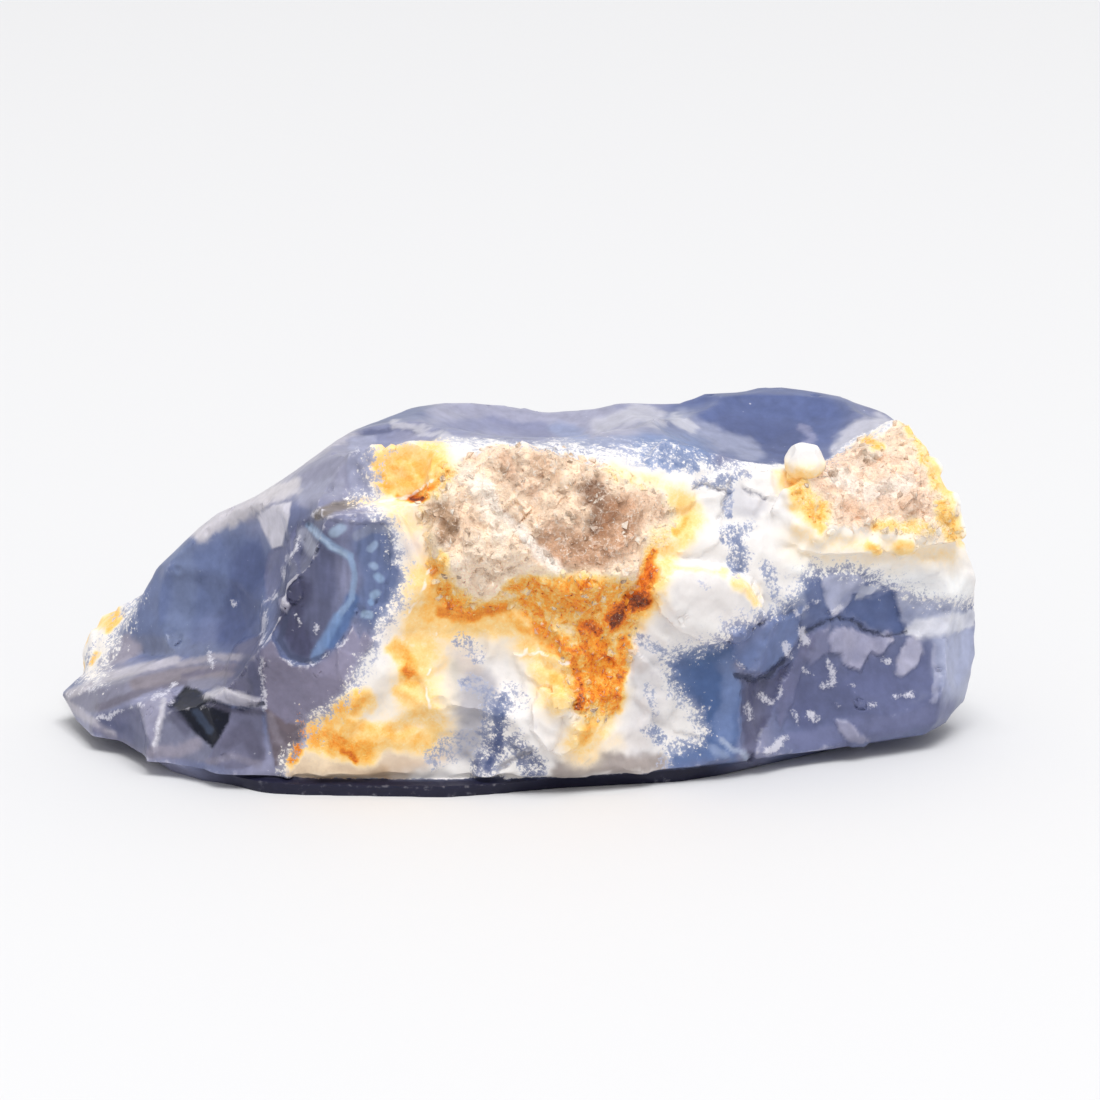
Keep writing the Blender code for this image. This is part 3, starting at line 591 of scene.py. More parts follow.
# Quartz colours in named places: colour, half width, strength, points in pixels.
QUARTZ_STROKES = {
    "dark_top": ((124, 84, 60), 14, 0.85, [(592, 490), (606, 508), (600, 524)]),
    "dark_mid": ((178, 128, 94), 22, 0.75, [(552, 545), (585, 552), (615, 540), (626, 515)]),
    "dark_foot": ((138, 96, 68), 8, 0.7, [(558, 570), (572, 582), (600, 580)]),
    "brown_left": ((164, 128, 98), 11, 0.8, [(442, 506), (452, 528), (436, 540)]),
    "brown_top_right": ((190, 150, 118), 8, 0.6, [(536, 458), (546, 470)]),
    "brown_mid_left": ((196, 158, 130), 9, 0.6, [(556, 522), (566, 536)]),
    "brown_low_left": ((200, 162, 134), 9, 0.5, [(450, 590), (462, 600)]),
    "brown_top": ((196, 156, 128), 8, 0.65, [(504, 458), (512, 474)]),
    "brown_top_2": ((206, 168, 142), 9, 0.5, [(520, 486), (534, 496)]),
    "tan_right": ((232, 196, 168), 10, 0.7, [(640, 494), (662, 506), (660, 524)]),
    "cream_left": ((252, 228, 204), 26, 0.85, [(490, 556), (470, 576), (510, 576)]),
    "pale_diagonal": ((253, 240, 228), 7, 0.9, [(482, 486), (504, 514), (526, 538), (560, 572)]),
    "pale_left": ((248, 232, 216), 12, 0.75, [(468, 474), (486, 502), (500, 532)]),
    "tongue": ((206, 146, 100), 18, 0.7, [(600, 650), (600, 690)]),
    "tongue_tip": ((238, 200, 176), 9, 0.8, [(576, 706), (600, 714)]),
    "shoulder_pink": ((248, 214, 190), 44, 0.7, [(830, 490), (925, 495)]),
    "shoulder_brown": ((220, 178, 146), 8, 0.7, [(846, 506), (858, 514)]),
    "shoulder_brown_2": ((220, 178, 148), 7, 0.6, [(804, 504), (822, 512)]),
    "shoulder_brown_3": ((214, 176, 148), 8, 0.6, [(908, 498), (916, 512)]),
    "shoulder_grey": ((208, 190, 172), 8, 0.6, [(862, 462), (880, 446)]),
    "shoulder_pale": ((252, 238, 226), 10, 0.65, [(836, 476), (870, 492), (905, 484)]),
}

# Crust colours in named places: colour, half width, strength, points in pixels.
CRUST_STROKES = {
    "left_cream": ((228, 209, 198), 12, 0.7, [(412, 525), (416, 560)]),
    "left_white": ((250, 243, 238), 10, 0.6, [(402, 600), (380, 640)]),
    "hollow_warm": ((222, 206, 194), 14, 0.7, [(454, 648), (468, 668)]),
    "mid_cream": ((247, 232, 212), 22, 0.6, [(475, 634), (505, 640)]),
    "hollow_grey": ((206, 200, 190), 16, 0.8, [(446, 670), (450, 700)]),
    "left_low": ((208, 174, 136), 24, 0.75, [(312, 762), (380, 760), (430, 745)]),
    "warm_foot": ((206, 172, 136), 9, 0.75, [(296, 768), (330, 764), (380, 772)]),
    "grey_foot": ((160, 148, 144), 12, 0.9, [(560, 772), (600, 764), (660, 762)]),
    "speckle_grey": ((172, 170, 180), 20, 0.85, [(480, 686), (472, 715), (462, 742)]),
    "foot_cream": ((240, 224, 206), 10, 0.6, [(590, 745), (640, 740)]),
    "pink_low": ((236, 208, 184), 8, 0.5, [(560, 738), (570, 752)]),
    "grey_right": ((232, 228, 230), 18, 0.7, [(640, 740), (650, 700), (640, 650)]),
    "white_flake": ((229, 223, 221), 24, 0.75, [(695, 590), (738, 605)]),
    "grey_lap": ((214, 204, 200), 8, 0.5, [(622, 640), (640, 668)]),
    "front_flake": ((252, 245, 240), 18, 0.8, [(548, 715), (556, 740)]),
    "shoulder_band": ((255, 255, 255), 14, 0.85, [(800, 562), (870, 570), (960, 588)]),
    "upper_grey": ((208, 206, 214), 15, 0.7, [(735, 500), (752, 508)]),
    "white_slope": ((218, 216, 218), 12, 0.6, [(752, 604), (778, 598)]),
    "top_band": ((232, 226, 224), 8, 0.5, [(600, 462), (640, 466), (700, 478)]),
}


def linear(colour):
    """A colour of 255 as linear light."""
    share = np.asarray(colour, float) / 255
    return np.where(share <= 0.04045, share / 12.92, ((share + 0.055) / 1.055) ** 2.4)


def in_photo(points):
    """Where points in millimetres fall in the photograph, in pixels across and down."""
    out = points - VIEW_PLACE
    scale = PHOTO_SIZE * VIEW_LENS / VIEW_SENSOR / (out @ VIEW_FORWARD)
    half = PHOTO_SIZE / 2
    return np.column_stack([half + out[:, 0] * scale, half - (out @ VIEW_UP) * scale])


def ease(low, high, value):
    """0 at low, 1 at high and smooth between them."""
    share = np.clip((value - low) / (high - low), 0, 1)
    return share * share * (3 - 2 * share)


def line_distance(spots, line):
    """How far each spot is from a line through these points."""
    best = np.full(len(spots), np.inf)
    for start, end in zip(np.array(line[:-1], float), np.array(line[1:], float)):
        along = end - start
        share = np.clip((spots - start) @ along / (along @ along), 0, 1)
        gap = spots - start - share[:, None] * along
        best = np.minimum(best, np.hypot(gap[:, 0], gap[:, 1]))
    return best


def near_line(spots, line, reach):
    """The spots within reach of a line, and how far each is from it."""
    low = np.min(line, axis=0) - reach
    high = np.max(line, axis=0) + reach
    chosen = np.flatnonzero(((spots > low) & (spots < high)).all(axis=1))
    return chosen, line_distance(spots[chosen], line)


def outline_depth(spots, outline):
    """How far each spot is inside the outline, and less than 0 outside it."""
    inside = np.zeros(len(spots), bool)
    x, y = spots[:, 0], spots[:, 1]
    corners = np.array(outline, float)
    for (ax, ay), (bx, by) in zip(corners, np.roll(corners, -1, axis=0)):
        crosses = (ay > y) != (by > y)
        inside ^= crosses & (x < (bx - ax) * (y - ay) / (by - ay + 1e-12) + ax)
    edge = line_distance(spots, list(outline) + [outline[0]])
    return np.where(inside, edge, -edge)


def mottle(points, wave, seed):
    """Smooth noise between about -1 and 1 that varies over that many millimetres."""
    places = points / wave + seed * np.array([7.3, 3.1, 5.7])
    return np.array([noise.noise(place) for place in places.tolist()])


def tilted_cells(points, wave, seed):
    """Heights of small flat facets, each tilted its own way, over that many millimetres."""
    heights = []
    for place in (points / wave + seed * np.array([4.1, 6.7, 2.9])).tolist():
        middle = noise.voronoi(place)[1][0]
        tilt = noise.noise_vector(middle * 5.3)
        heights.append(tilt.dot(Vector(place) - middle) + 0.5 * tilt.x)
    return np.array(heights) * wave


def points_of(mesh):
    points = np.empty(len(mesh.vertices) * 3)
    mesh.vertices.foreach_get("co", points)
    return points.reshape(-1, 3) / MM


def normals_of(mesh):
    normals = np.empty(len(mesh.vertices) * 3)
    mesh.vertices.foreach_get("normal", normals)
    return normals.reshape(-1, 3)


def triangles_of(mesh):
    faces = np.empty(len(mesh.polygons) * 3, np.int64)
    mesh.polygons.foreach_get("vertices", faces)
    return faces.reshape(-1, 3)


def set_points(mesh, points):
    mesh.vertices.foreach_set("co", (points * MM).ravel())
    mesh.update()


def placed(name, data):
    """A new object of that name in the scene."""
    obj = bpy.data.objects.new(name, data)
    bpy.context.scene.collection.objects.link(obj)
    return obj


def apply_modifiers(obj):
    """Puts what the object's modifiers make in its mesh, and takes them off."""
    mesh = bpy.data.meshes.new_from_object(obj.evaluated_get(bpy.context.evaluated_depsgraph_get()))
    obj.modifiers.clear()
    obj.data = mesh


def face_frames(points, faces):
    """Each triangle's middle, its normal and twice its area."""
    a, b, c = points[faces[:, 0]], points[faces[:, 1]], points[faces[:, 2]]
    cross = np.cross(b - a, c - a)
    size = np.linalg.norm(cross, axis=1)
    return (a + b + c) / 3, cross / np.maximum(size, 1e-12)[:, None], size


def face_neighbours(faces, count):
    """The triangle across each of a triangle's three edges, on a closed mesh."""
    starts, ends = faces, np.roll(faces, -1, axis=1)
    keys = (np.minimum(starts, ends) * count + np.maximum(starts, ends)).ravel()
    order = np.argsort(keys, kind="stable")
    across = np.empty(len(keys), np.int64)
    across[order[0::2]] = order[1::2]
    across[order[1::2]] = order[0::2]
    return (across // 3).reshape(-1, 3)


def even_breaks(points, faces):
    """Turns shallow facets into smooth shells and leaves what is sharper than that as ridges."""
    middles, normals, sizes = face_frames(points, faces)
    near = face_neighbours(faces, len(points))
    for _ in range(EVEN_ROUNDS):
        around = normals[near]
        unlike = ((around - normals[:, None, :]) ** 2).sum(axis=2)
        weights = np.exp(-unlike / (2 * EVEN_KEEP**2)) * sizes[near]
        normals = normals * sizes[:, None] + (around * weights[:, :, None]).sum(axis=1)
        normals /= np.linalg.norm(normals, axis=1)[:, None]
    users = np.bincount(faces.ravel(), minlength=len(points))
    for _ in range(FIT_ROUNDS):
        middles = face_frames(points, faces)[0]
        move = np.zeros_like(points)
        for corner in range(3):
            verts = faces[:, corner]
            push = normals * ((middles - points[verts]) * normals).sum(axis=1)[:, None]
            for axis in range(3):
                move[:, axis] += np.bincount(verts, push[:, axis], minlength=len(points))
        points = points + move / users[:, None]
    return points


def edge_ends(faces, count):
    """The two points of each edge."""
    pairs = np.sort(np.concatenate([faces[:, [0, 1]], faces[:, [1, 2]], faces[:, [2, 0]]]), axis=1)
    keys = np.unique(pairs[:, 0] * count + pairs[:, 1])
    return keys // count, keys % count


def ridges_of(points, normals, faces, rounds):
    """How sharply the surface bends outward at each point, and less than 0 in hollows, per millimetre."""
    count = len(points)
    first, second = edge_ends(faces, count)
    along = points[first] - points[second]
    bend = ((normals[first] - normals[second]) * along).sum(axis=1) / np.maximum((along**2).sum(axis=1), 1e-9)
    users = np.bincount(first, minlength=count) + np.bincount(second, minlength=count)
    ridge = (np.bincount(first, bend, count) + np.bincount(second, bend, count)) / users
    for _ in range(rounds):
        around = np.bincount(first, ridge[second], count) + np.bincount(second, ridge[first], count)
        ridge = (ridge + around / users) / 2
    return ridge


def evened(values, faces, rounds):
    """The values at the points, blended with those around them."""
    count = len(values)
    first, second = edge_ends(faces, count)
    users = (np.bincount(first, minlength=count) + np.bincount(second, minlength=count))[:, None]
    for _ in range(rounds):
        around = np.column_stack([
            np.bincount(first, column[second], count) + np.bincount(second, column[first], count)
            for column in values.T
        ])
        values = (values + around / users) / 2
    return values


def behind_front(points):
    """How far each point lies behind the front of the stone, in millimetres."""
    line = np.array(FRONT_LINE, float)
    return points[:, 1] - np.interp(points[:, 0], line[:, 0], line[:, 1])


# How many pixels the stains, the flakes and the lobe waver, slowly and quickly.
WAVERS = ((5.0, 3.0), (2.0, 2.6), (0.8, 1.0))


def spots_of(points):
    """Where points fall in the photograph, wavering most for stains, less for flakes, least for the lobe."""
    spots = in_photo(points)
    waver = np.column_stack([mottle(points, 1.2, 1.0), mottle(points, 1.2, 2.0)])
    ripple = np.column_stack([mottle(points, 0.4, 3.0), mottle(points, 0.4, 4.0)])
    return [spots + waver * slow + ripple * quick for slow, quick in WAVERS]


def crust_and_quartz(points, facing, spots):
    """How deep in the crust and in the quartz each point is, and how much of the front's drawing it has."""
    behind = behind_front(points) + 1.6 * mottle(points, 3.0, 5.0)
    turned = facing + CREST_CRUST * ease(5.0, 3.0, behind) * ease(6.0, 9.0, points[:, 2])
    shown = (1 - ease(*CRUST_THROUGH, behind)) * ease(*CRUST_SEEN, turned) * ease(*FOOT_FADE, points[:, 2])
    crust = np.minimum(outline_depth(spots, CRUST_OUTLINE), DEEPEST)
    for half_width, below, line in SHOW_THROUGH.values():
        chosen, gaps = near_line(spots, line, half_width * 1.6)
        reach = ease(half_width * 1.6, half_width * 0.4, gaps)
        crust[chosen] = np.minimum(crust[chosen], DEEPEST - (below + DEEPEST) * reach)
    crust -= HIDDEN * (1 - shown)
    quartz = np.full(len(points), -float(DEEPEST))
    for outline in QUARTZ_OUTLINES.values():
        quartz = np.maximum(quartz, outline_depth(spots, outline))
    quartz = np.minimum(quartz, DEEPEST) - HIDDEN * (1 - shown)
    rind = outline_depth(spots, RIND_OUTLINE) - HIDDEN * (1 - ease(*CRUST_SEEN, facing))
    crust = np.maximum(crust, rind)
    for middle, reach, _ in BACK_CRUST.values():
        crust = np.maximum(crust, patch_depth(points, middle, reach) / PIXEL)
    return crust, quartz, shown


def patch_depth(points, middle, reach):
    """How far inside a patch on the back each point is, in millimetres, and less than 0 outside it."""
    away = np.linalg.norm((points - np.array(middle)) / np.array(reach), axis=1)
    ragged = mottle(points, 2.4, 8.0) + 0.5 * mottle(points, 0.8, 9.0)
    return (1 - away) * min(reach) + BACK_RAGGED * ragged


def stain_of(points, facing, spots, shown):
    stain = np.zeros(len(points))
    for strokes, share in ((STAIN_STROKES, shown), (RIND_STROKES, ease(*CRUST_SEEN, facing))):
        for half_width, strength, line in strokes.values():
            chosen, gaps = near_line(spots, line, half_width * 2.0)
            reach = ease(half_width * 2.0, half_width * 0.15, gaps) * share[chosen]
            stain[chosen] = np.maximum(stain[chosen], strength * reach)
    for middle, reach, strength in BACK_CRUST.values():
        depth = patch_depth(points, middle, reach) + mottle(points, 1.3, 10.0)
        stain = np.maximum(stain, strength * ease(0.2, 1.6, depth))
    return stain


def laid_over(colours, spots, strokes, share):
    """The colours with each stroke laid over them in turn."""
    for colour, half_width, strength, line in strokes.values():
        chosen, gaps = near_line(spots, line, half_width * 1.3)
        reach = strength * ease(half_width * 1.3, half_width * 0.5, gaps) * share[chosen]
        colours[chosen] += (linear(colour) - colours[chosen]) * reach[:, None]
    return colours


def outline_share(spots, outline):
    """1 well inside the outline and 0 outside it."""
    return ease(0, 6, outline_depth(spots, outline))


def flake_reach(spots, outline, blur):
    """The spots in or near the flake, and how much of it each holds."""
    low = np.min(outline, axis=0) - 6
    high = np.max(outline, axis=0) + 6
    chosen = np.flatnonzero(((spots > low) & (spots < high)).all(axis=1))
    depth = outline_depth(spots[chosen], outline)
    return chosen, ease(-blur[chosen], blur[chosen], depth)


def line_field(spots, lines, share):
    """How far inside the nearest line's width each spot is, in pixels, and less than 0 outside it."""
    field = np.full(len(spots), NO_LINE)
    for half_width, line in lines.values():
        chosen, gaps = near_line(spots, line, half_width - NO_LINE)
        field[chosen] = np.maximum(field[chosen], half_width - gaps)
    return field - 30 * (1 - share)


def tint_of(points, facing, spots, crisp, steady):
    """The chalcedony's colour: slate and lavender clouds, what is drawn where the photograph shows it,
    and a painted shadow on the foot.
    """
    cloud = mottle(points, 7.0, 6.0) + 0.5 * mottle(points, 3.0, 6.5)
    tint = linear(SLATE) + (linear(LAVENDER) - linear(SLATE)) * ease(-0.45, 0.65, cloud)[:, None]
    share = ease(*TINT_SEEN, facing)
    tint = laid_over(tint, spots, TINT_STROKES, share)
    blur = 1.4 + 4.0 * ease(-0.1, 0.7, mottle(points, 1.4, 21.0))
    haze = np.clip(0.8 + 0.4 * mottle(points, 0.9, 22.0), 0.4, 1.0) * share
    streaks = 1 + STREAKS * mottle(points * STREAK_STRETCH, 1.0, 25.0) * outline_share(steady, LOBE_OUTLINE)
    tint = laid_over(tint, steady, LOBE_STROKES, share) * streaks[:, None]
    for flakes, places, solid in ((SHARDS, steady, share), (FLAKES, crisp, haze)):
        for colour, strength, _, outline in flakes.values():
            chosen, reach = flake_reach(places, outline, blur)
            tint[chosen] += (linear(colour) - tint[chosen]) * (strength * reach * solid[chosen])[:, None]
    tint = laid_over(tint, steady, LEDGE_STROKES, share) * BLUE_SHADE
    # The foot below the front's lower edge is painted dark, as a shadow.
    foot_shadow = ease(FOOT_FADE[1] + 0.1, FOOT_FADE[0], points[:, 2])
    foot_shadow *= ease(*UNDERSIDE_SHADOW_LEFT, points[:, 0]) * ease(*UNDERSIDE_SHADOW_RIGHT, points[:, 0])
    return tint + (linear(UNDERSIDE_SHADOW) - tint) * foot_shadow[:, None]


def rim_field(points, crisp, share):
    """Bright rims, partly bruised stone and partly painted edge highlights, broken here and there,
    and the white chips.
    """
    gaps = 5.0 * ease(-0.15, 0.45, mottle(points, 0.8, 23.0))
    return np.maximum(line_field(crisp, RIMS, share) - gaps, line_field(crisp, WHITE_CHIPS, share))


def fields_of(points, normals, faces):
    """All that the material reads at each point."""
    spots, crisp, steady = spots_of(points)
    facing = -(evened(normals, faces, FACING_ROUNDS) @ VIEW_FORWARD)
    crust, quartz, shown = crust_and_quartz(points, facing, spots)
    share = ease(*TINT_SEEN, facing)
    count = len(points)
    return {
        "crust": crust,
        "quartz": quartz,
        "stain": stain_of(points, facing, spots, shown),
        "ridge": ridges_of(points, normals, faces, 2),
        "rim": rim_field(points, crisp, share),
        "crack_and_shadow_line": line_field(crisp, CRACKS_AND_SHADOW_LINE, share),
        "tint": tint_of(points, facing, spots, crisp, steady),
        "crust_tint": laid_over(np.tile(linear(CRUST_WHITE), (count, 1)), spots, CRUST_STROKES, share),
        "quartz_tint": laid_over(np.tile(linear(QUARTZ_TAN), (count, 1)), spots, QUARTZ_STROKES, share),
    }


def nibbled(points, normals, faces):
    """The points with small conchoidal scars struck out along the ridges."""
    ridge = np.clip(ridges_of(points, normals, faces, 10) - NIBBLE_RIDGE, 0, 0.5)
    ridge *= points[:, 2] > NIBBLE_LOWEST
    wobble = NIBBLE_WOBBLE * mottle(points, 0.5, 20.0)
    rng = np.random.default_rng(NIBBLE_SEED)
    picks = rng.choice(len(points), NIBBLES, replace=False, p=ridge / ridge.sum())
    for pick in picks:
        radius = rng.uniform(*NIBBLE_RADIUS)
        depth = rng.uniform(*NIBBLE_DEPTH)
        aim = normals[pick] + rng.normal(0, 0.3, 3)
        aim /= np.linalg.norm(aim)
        centre = points[pick] + aim * (radius - depth)
        chosen = np.flatnonzero((np.abs(points - centre) < radius).all(axis=1))
        out = points[chosen] - centre
        along = out @ aim
        shell = (radius - wobble[chosen]) ** 2 - (out**2).sum(axis=1) + along**2
        sunk = along + np.sqrt(np.maximum(shell, 0))
        struck = (shell > 0) & (sunk > 0) & (sunk < 2 * depth) & (normals[chosen] @ aim > 0.2)
        points[chosen[struck]] -= aim * sunk[struck][:, None]
    return points


def roughened(points, normals, faces):
    """The points moved out and in by the flakes and by the fine relief of each kind of surface."""
    spots, crisp, steady = spots_of(points)
    facing = -(evened(normals, faces, FACING_ROUNDS) @ VIEW_FORWARD)
    crust_depth, quartz_depth, _ = crust_and_quartz(points, facing, spots)
    crust = ease(-8, 8, crust_depth)
    quartz = ease(-4, 4, quartz_depth)
    share = ease(*RELIEF_SEEN, facing)
    height = np.zeros(len(points))
    blur = np.full(len(points), 2.0)
    for flakes, places in ((SHARDS, steady), (FLAKES, crisp)):
        for _, _, lift, outline in flakes.values():
            chosen, reach = flake_reach(places, outline, blur)
            height[chosen] += lift * reach * share[chosen]
    for lines, lift in ((CRACKS_AND_SHADOW_LINE, -0.12), (RIMS, 0.03), (WHITE_CHIPS, 0.05)):
        height += lift * ease(-2.0, 1.0, line_field(crisp, lines, share))
    rough = np.flatnonzero((crust > 0) | (quartz > 0))
    place = points[rough]
    flaky = tilted_cells(place, 1.6, 1.0) * 0.22 + tilted_cells(place, 0.5, 2.0) * 0.08
    lumps = mottle(place, 1.6, 11.0) * 0.10 + mottle(place, 0.5, 12.0) * 0.02
    grit = mottle(place, 0.26, 13.0) * 0.02
    relief = np.zeros((len(points), 1))
    relief[rough, 0] = flaky + lumps
    smooth = evened(relief, faces, RELIEF_ROUNDS)
    height += crust * (smooth + (relief - smooth) * quartz[:, None])[:, 0]
    height[rough] += (crust[rough] + quartz[rough]) * grit
    swell = mottle(points, 3.2, 14.0) * 0.05 + mottle(points, 1.1, 15.0) * 0.012
    height += (1 - crust) * swell
    moved = points + normals * height[:, None]
    lip = ease(LIP_REACH, 0.0, np.abs(points[:, 2] - LIP_HEIGHT)) * ease(3.0, 1.0, behind_front(points))
    moved[:, 2] -= LIP_DROP * lip
    ahead = ease(LIP_HEIGHT, FOOT_FADE[0], points[:, 2]) * ease(3.0, 1.0, behind_front(points))
    ahead *= ease(*FOOT_AHEAD_LEFT, points[:, 0]) * ease(*FOOT_AHEAD_RIGHT, points[:, 0])
    moved[:, 1] -= FOOT_AHEAD * ahead
    return moved


def add_fields(mesh, fields):
    for name, values in fields.items():
        if values.ndim == 1:
            field = mesh.attributes.new(name, "FLOAT", "POINT")
            field.data.foreach_set("value", values.astype(np.float32))
        else:
            field = mesh.attributes.new(name, "FLOAT_COLOR", "POINT")
            whole = np.column_stack([values, np.ones(len(values))])
            field.data.foreach_set("color", whole.astype(np.float32).ravel())


def make_finer(mesh, area):
    """Halves the edges inside the outline on the front, for the small markings there."""
    inside = (outline_depth(in_photo(points_of(mesh)), area) > 0) & (normals_of(mesh) @ VIEW_FORWARD < 0.2)
    bm = bmesh.new()
    bm.from_mesh(mesh)
    edges = [edge for edge in bm.edges if all(inside[vert.index] for vert in edge.verts)]
    bmesh.ops.subdivide_edges(bm, edges=edges, cuts=1)
    bmesh.ops.triangulate(bm, faces=[face for face in bm.faces if len(face.verts) > 3])
    bm.to_mesh(mesh)
    bm.free()


def stone_surface(node):
    """The stone's visible surface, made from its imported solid."""
    low, high = (np.array(corner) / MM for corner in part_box(node.name))
    stone = placed("stone_surface", node.data.copy())
    remesh = stone.modifiers.new("remesh", "REMESH")
    remesh.mode = "VOXEL"
    remesh.voxel_size = VOXEL * MM
    apply_modifiers(stone)
    split = stone.modifiers.new("split", "TRIANGULATE")
    split.quad_method = "SHORTEST_DIAGONAL"
    apply_modifiers(stone)
    mesh = stone.data
    faces = triangles_of(mesh)
    start = points_of(mesh)
    points = even_breaks(start, faces)
    set_points(mesh, points)
    points = nibbled(points, normals_of(mesh), faces)
    set_points(mesh, points)
    points = roughened(points, normals_of(mesh), faces)
    on_floor = start[:, 2] < low[2] + FLOOR_SKIN
    points[on_floor, 2] = low[2]
    points = np.clip(points, low, high)
    set_points(mesh, points)
    back = stone.vertex_groups.new(name="thin")
    facing = -(evened(normals_of(mesh), faces, FACING_ROUNDS) @ VIEW_FORWARD)
    weights = THIN_FRONT + THIN_BACK * ease(*THIN_FACING, facing)
    for step in range(THIN_STEPS):
        members = np.flatnonzero(np.round(weights * THIN_STEPS) == step)
        back.add(members.tolist(), step / THIN_STEPS, "REPLACE")
    thin = stone.modifiers.new("thin", "DECIMATE")
    thin.ratio = STONE_TRIANGLES / len(mesh.polygons)
    thin.vertex_group = "thin"
    thin.vertex_group_factor = 1.0
    apply_modifiers(stone)
    mesh = stone.data
    set_points(mesh, np.clip(points_of(mesh), low, high))
    make_finer(mesh, LOBE_AREA)
    add_fields(mesh, fields_of(points_of(mesh), normals_of(mesh), triangles_of(mesh)))
    mesh.shade_smooth()
    mesh.set_sharp_from_angle(angle=SHARP_ANGLE)
    return stone


def grain_shapes(rng):
    """A few small faceted crystals about one unit across, as points and triangles."""
    shapes = []
    for _ in range(GRAIN_SHAPES):
        spread = rng.normal(0, 1, (GRAIN_CORNERS, 3))
        spread *= (rng.uniform(0.8, 1.0, GRAIN_CORNERS) / np.linalg.norm(spread, axis=1))[:, None]
        bm = bmesh.new()
        for place in spread:
            bm.verts.new(place)
        hull = bmesh.ops.convex_hull(bm, input=bm.verts)
        bmesh.ops.delete(bm, geom=list({*hull["geom_interior"], *hull["geom_unused"]}), context="VERTS")
        bmesh.ops.triangulate(bm, faces=bm.faces)
        bm.verts.index_update()
        corners = np.array([vert.co[:] for vert in bm.verts])
        faces = np.array([[vert.index for vert in face.verts] for face in bm.faces])
        shapes.append((corners, faces))
        bm.free()
    return shapes


def random_turns(rng, count):
    """Random rotations, as matrices."""
    turns, _ = np.linalg.qr(rng.normal(0, 1, (count, 3, 3)))
    return turns * np.sign(np.linalg.det(turns))[:, None, None]


def scattered(places, spacing):
    """The places left when none may be nearer to an earlier one than the spacing."""
    cells = {}
    kept = []
    for index, place in enumerate(places):
        cell = tuple(np.floor(place / spacing).astype(int))
        around = [
            cells.get((cell[0] + x, cell[1] + y, cell[2] + z), ())
            for x in (-1, 0, 1) for y in (-1, 0, 1) for z in (-1, 0, 1)
        ]
        near = [other for group in around for other in group]
        if all(((places[other] - place) ** 2).sum() > spacing**2 for other in near):
            cells.setdefault(cell, []).append(index)
            kept.append(index)
    return np.array(kept)


def quartz_grains(stone, name, limits, sizes, seed):
    """Small crystals half sunk in the quartz, all in one object."""
    smallest, largest, spacing, lightness = sizes
    mesh = stone.data
    points, triangles = points_of(mesh), triangles_of(mesh)
    fields = read_fields(mesh, ("quartz", "stain", "crust", "quartz_tint", "crust_tint", "tint"))
    rng = np.random.default_rng(seed)
    inside = triangles[fields["quartz"][triangles].mean(axis=1) > -2.0]
    size = face_frames(points, inside)[2]
    tries = int(GRAIN_TRIES * size.sum() / spacing**2)
    held = inside[rng.choice(len(inside), tries, p=size / size.sum())]
    weights = rng.dirichlet((1, 1, 1), tries)[:, :, None]
    kept = scattered((points[held] * weights).sum(axis=1), spacing)
    held, weights = held[kept], weights[kept]
    places = (points[held] * weights).sum(axis=1)
    normals = (normals_of(mesh)[held] * weights).sum(axis=1)
    count = len(kept)
    shapes = grain_shapes(rng)
    turns = random_turns(rng, count)
    kinds = rng.integers(0, len(shapes), count)
    radii = rng.uniform(smallest, largest, count)
    stretch = rng.uniform(0.75, 1.2, (count, 3))
    sink = rng.uniform(*GRAIN_SINK, count)
    corners, faces, owners, start = [], [], [], 0
    for number, kind in enumerate(kinds):
        shape, sides = shapes[kind]
        middle = places[number] - normals[number] * sink[number] * radii[number]
        corners.append(middle + (shape * stretch[number] * radii[number]) @ turns[number])
        faces.append(sides + start)
        owners.append(np.full(len(shape), number))
        start += len(shape)
    corners = np.clip(np.concatenate(corners), *limits)
    owners = np.concatenate(owners)
    faces = np.concatenate(faces)
    grains = bpy.data.meshes.new(name)
    grains.from_pydata((corners * MM).tolist(), [], faces.tolist())
    shade = lightness + rng.normal(0, 1, count)
    seen = {key: held_values(values, held, weights)[owners] for key, values in fields.items()}
    seen["quartz"] = np.full(len(owners), GRAIN_QUARTZ)
    seen["crust"] = np.full(len(owners), float(DEEPEST))
    seen["grain"] = shade[owners]
    seen["rim"] = seen["crack_and_shadow_line"] = np.full(len(owners), NO_LINE)
    add_fields(grains, seen)
    grains.shade_smooth()
    grains.set_sharp_from_angle(angle=GRAIN_ANGLE)
    facets = grains.attributes.new("facet", "FLOAT", "FACE")
    facets.data.foreach_set("value", rng.normal(0, 1, len(faces)).astype(np.float32))
    return placed(name, grains)


def held_values(values, held, weights):
    """The values at places on triangles, from those at the triangles' corners."""
    flat = weights[:, :, 0] if values.ndim == 1 else weights
    return (values[held] * flat).sum(axis=1)


def read_fields(mesh, names):
    fields = {}
    for name in names:
        field = mesh.attributes[name]
        if field.data_type == "FLOAT":
            values = np.empty(len(field.data), np.float32)
            field.data.foreach_get("value", values)
        else:
            values = np.empty(len(field.data) * 4, np.float32)
            field.data.foreach_get("color", values)
            values = values.reshape(-1, 4)[:, :3]
        fields[name] = values.astype(float)
    return fields


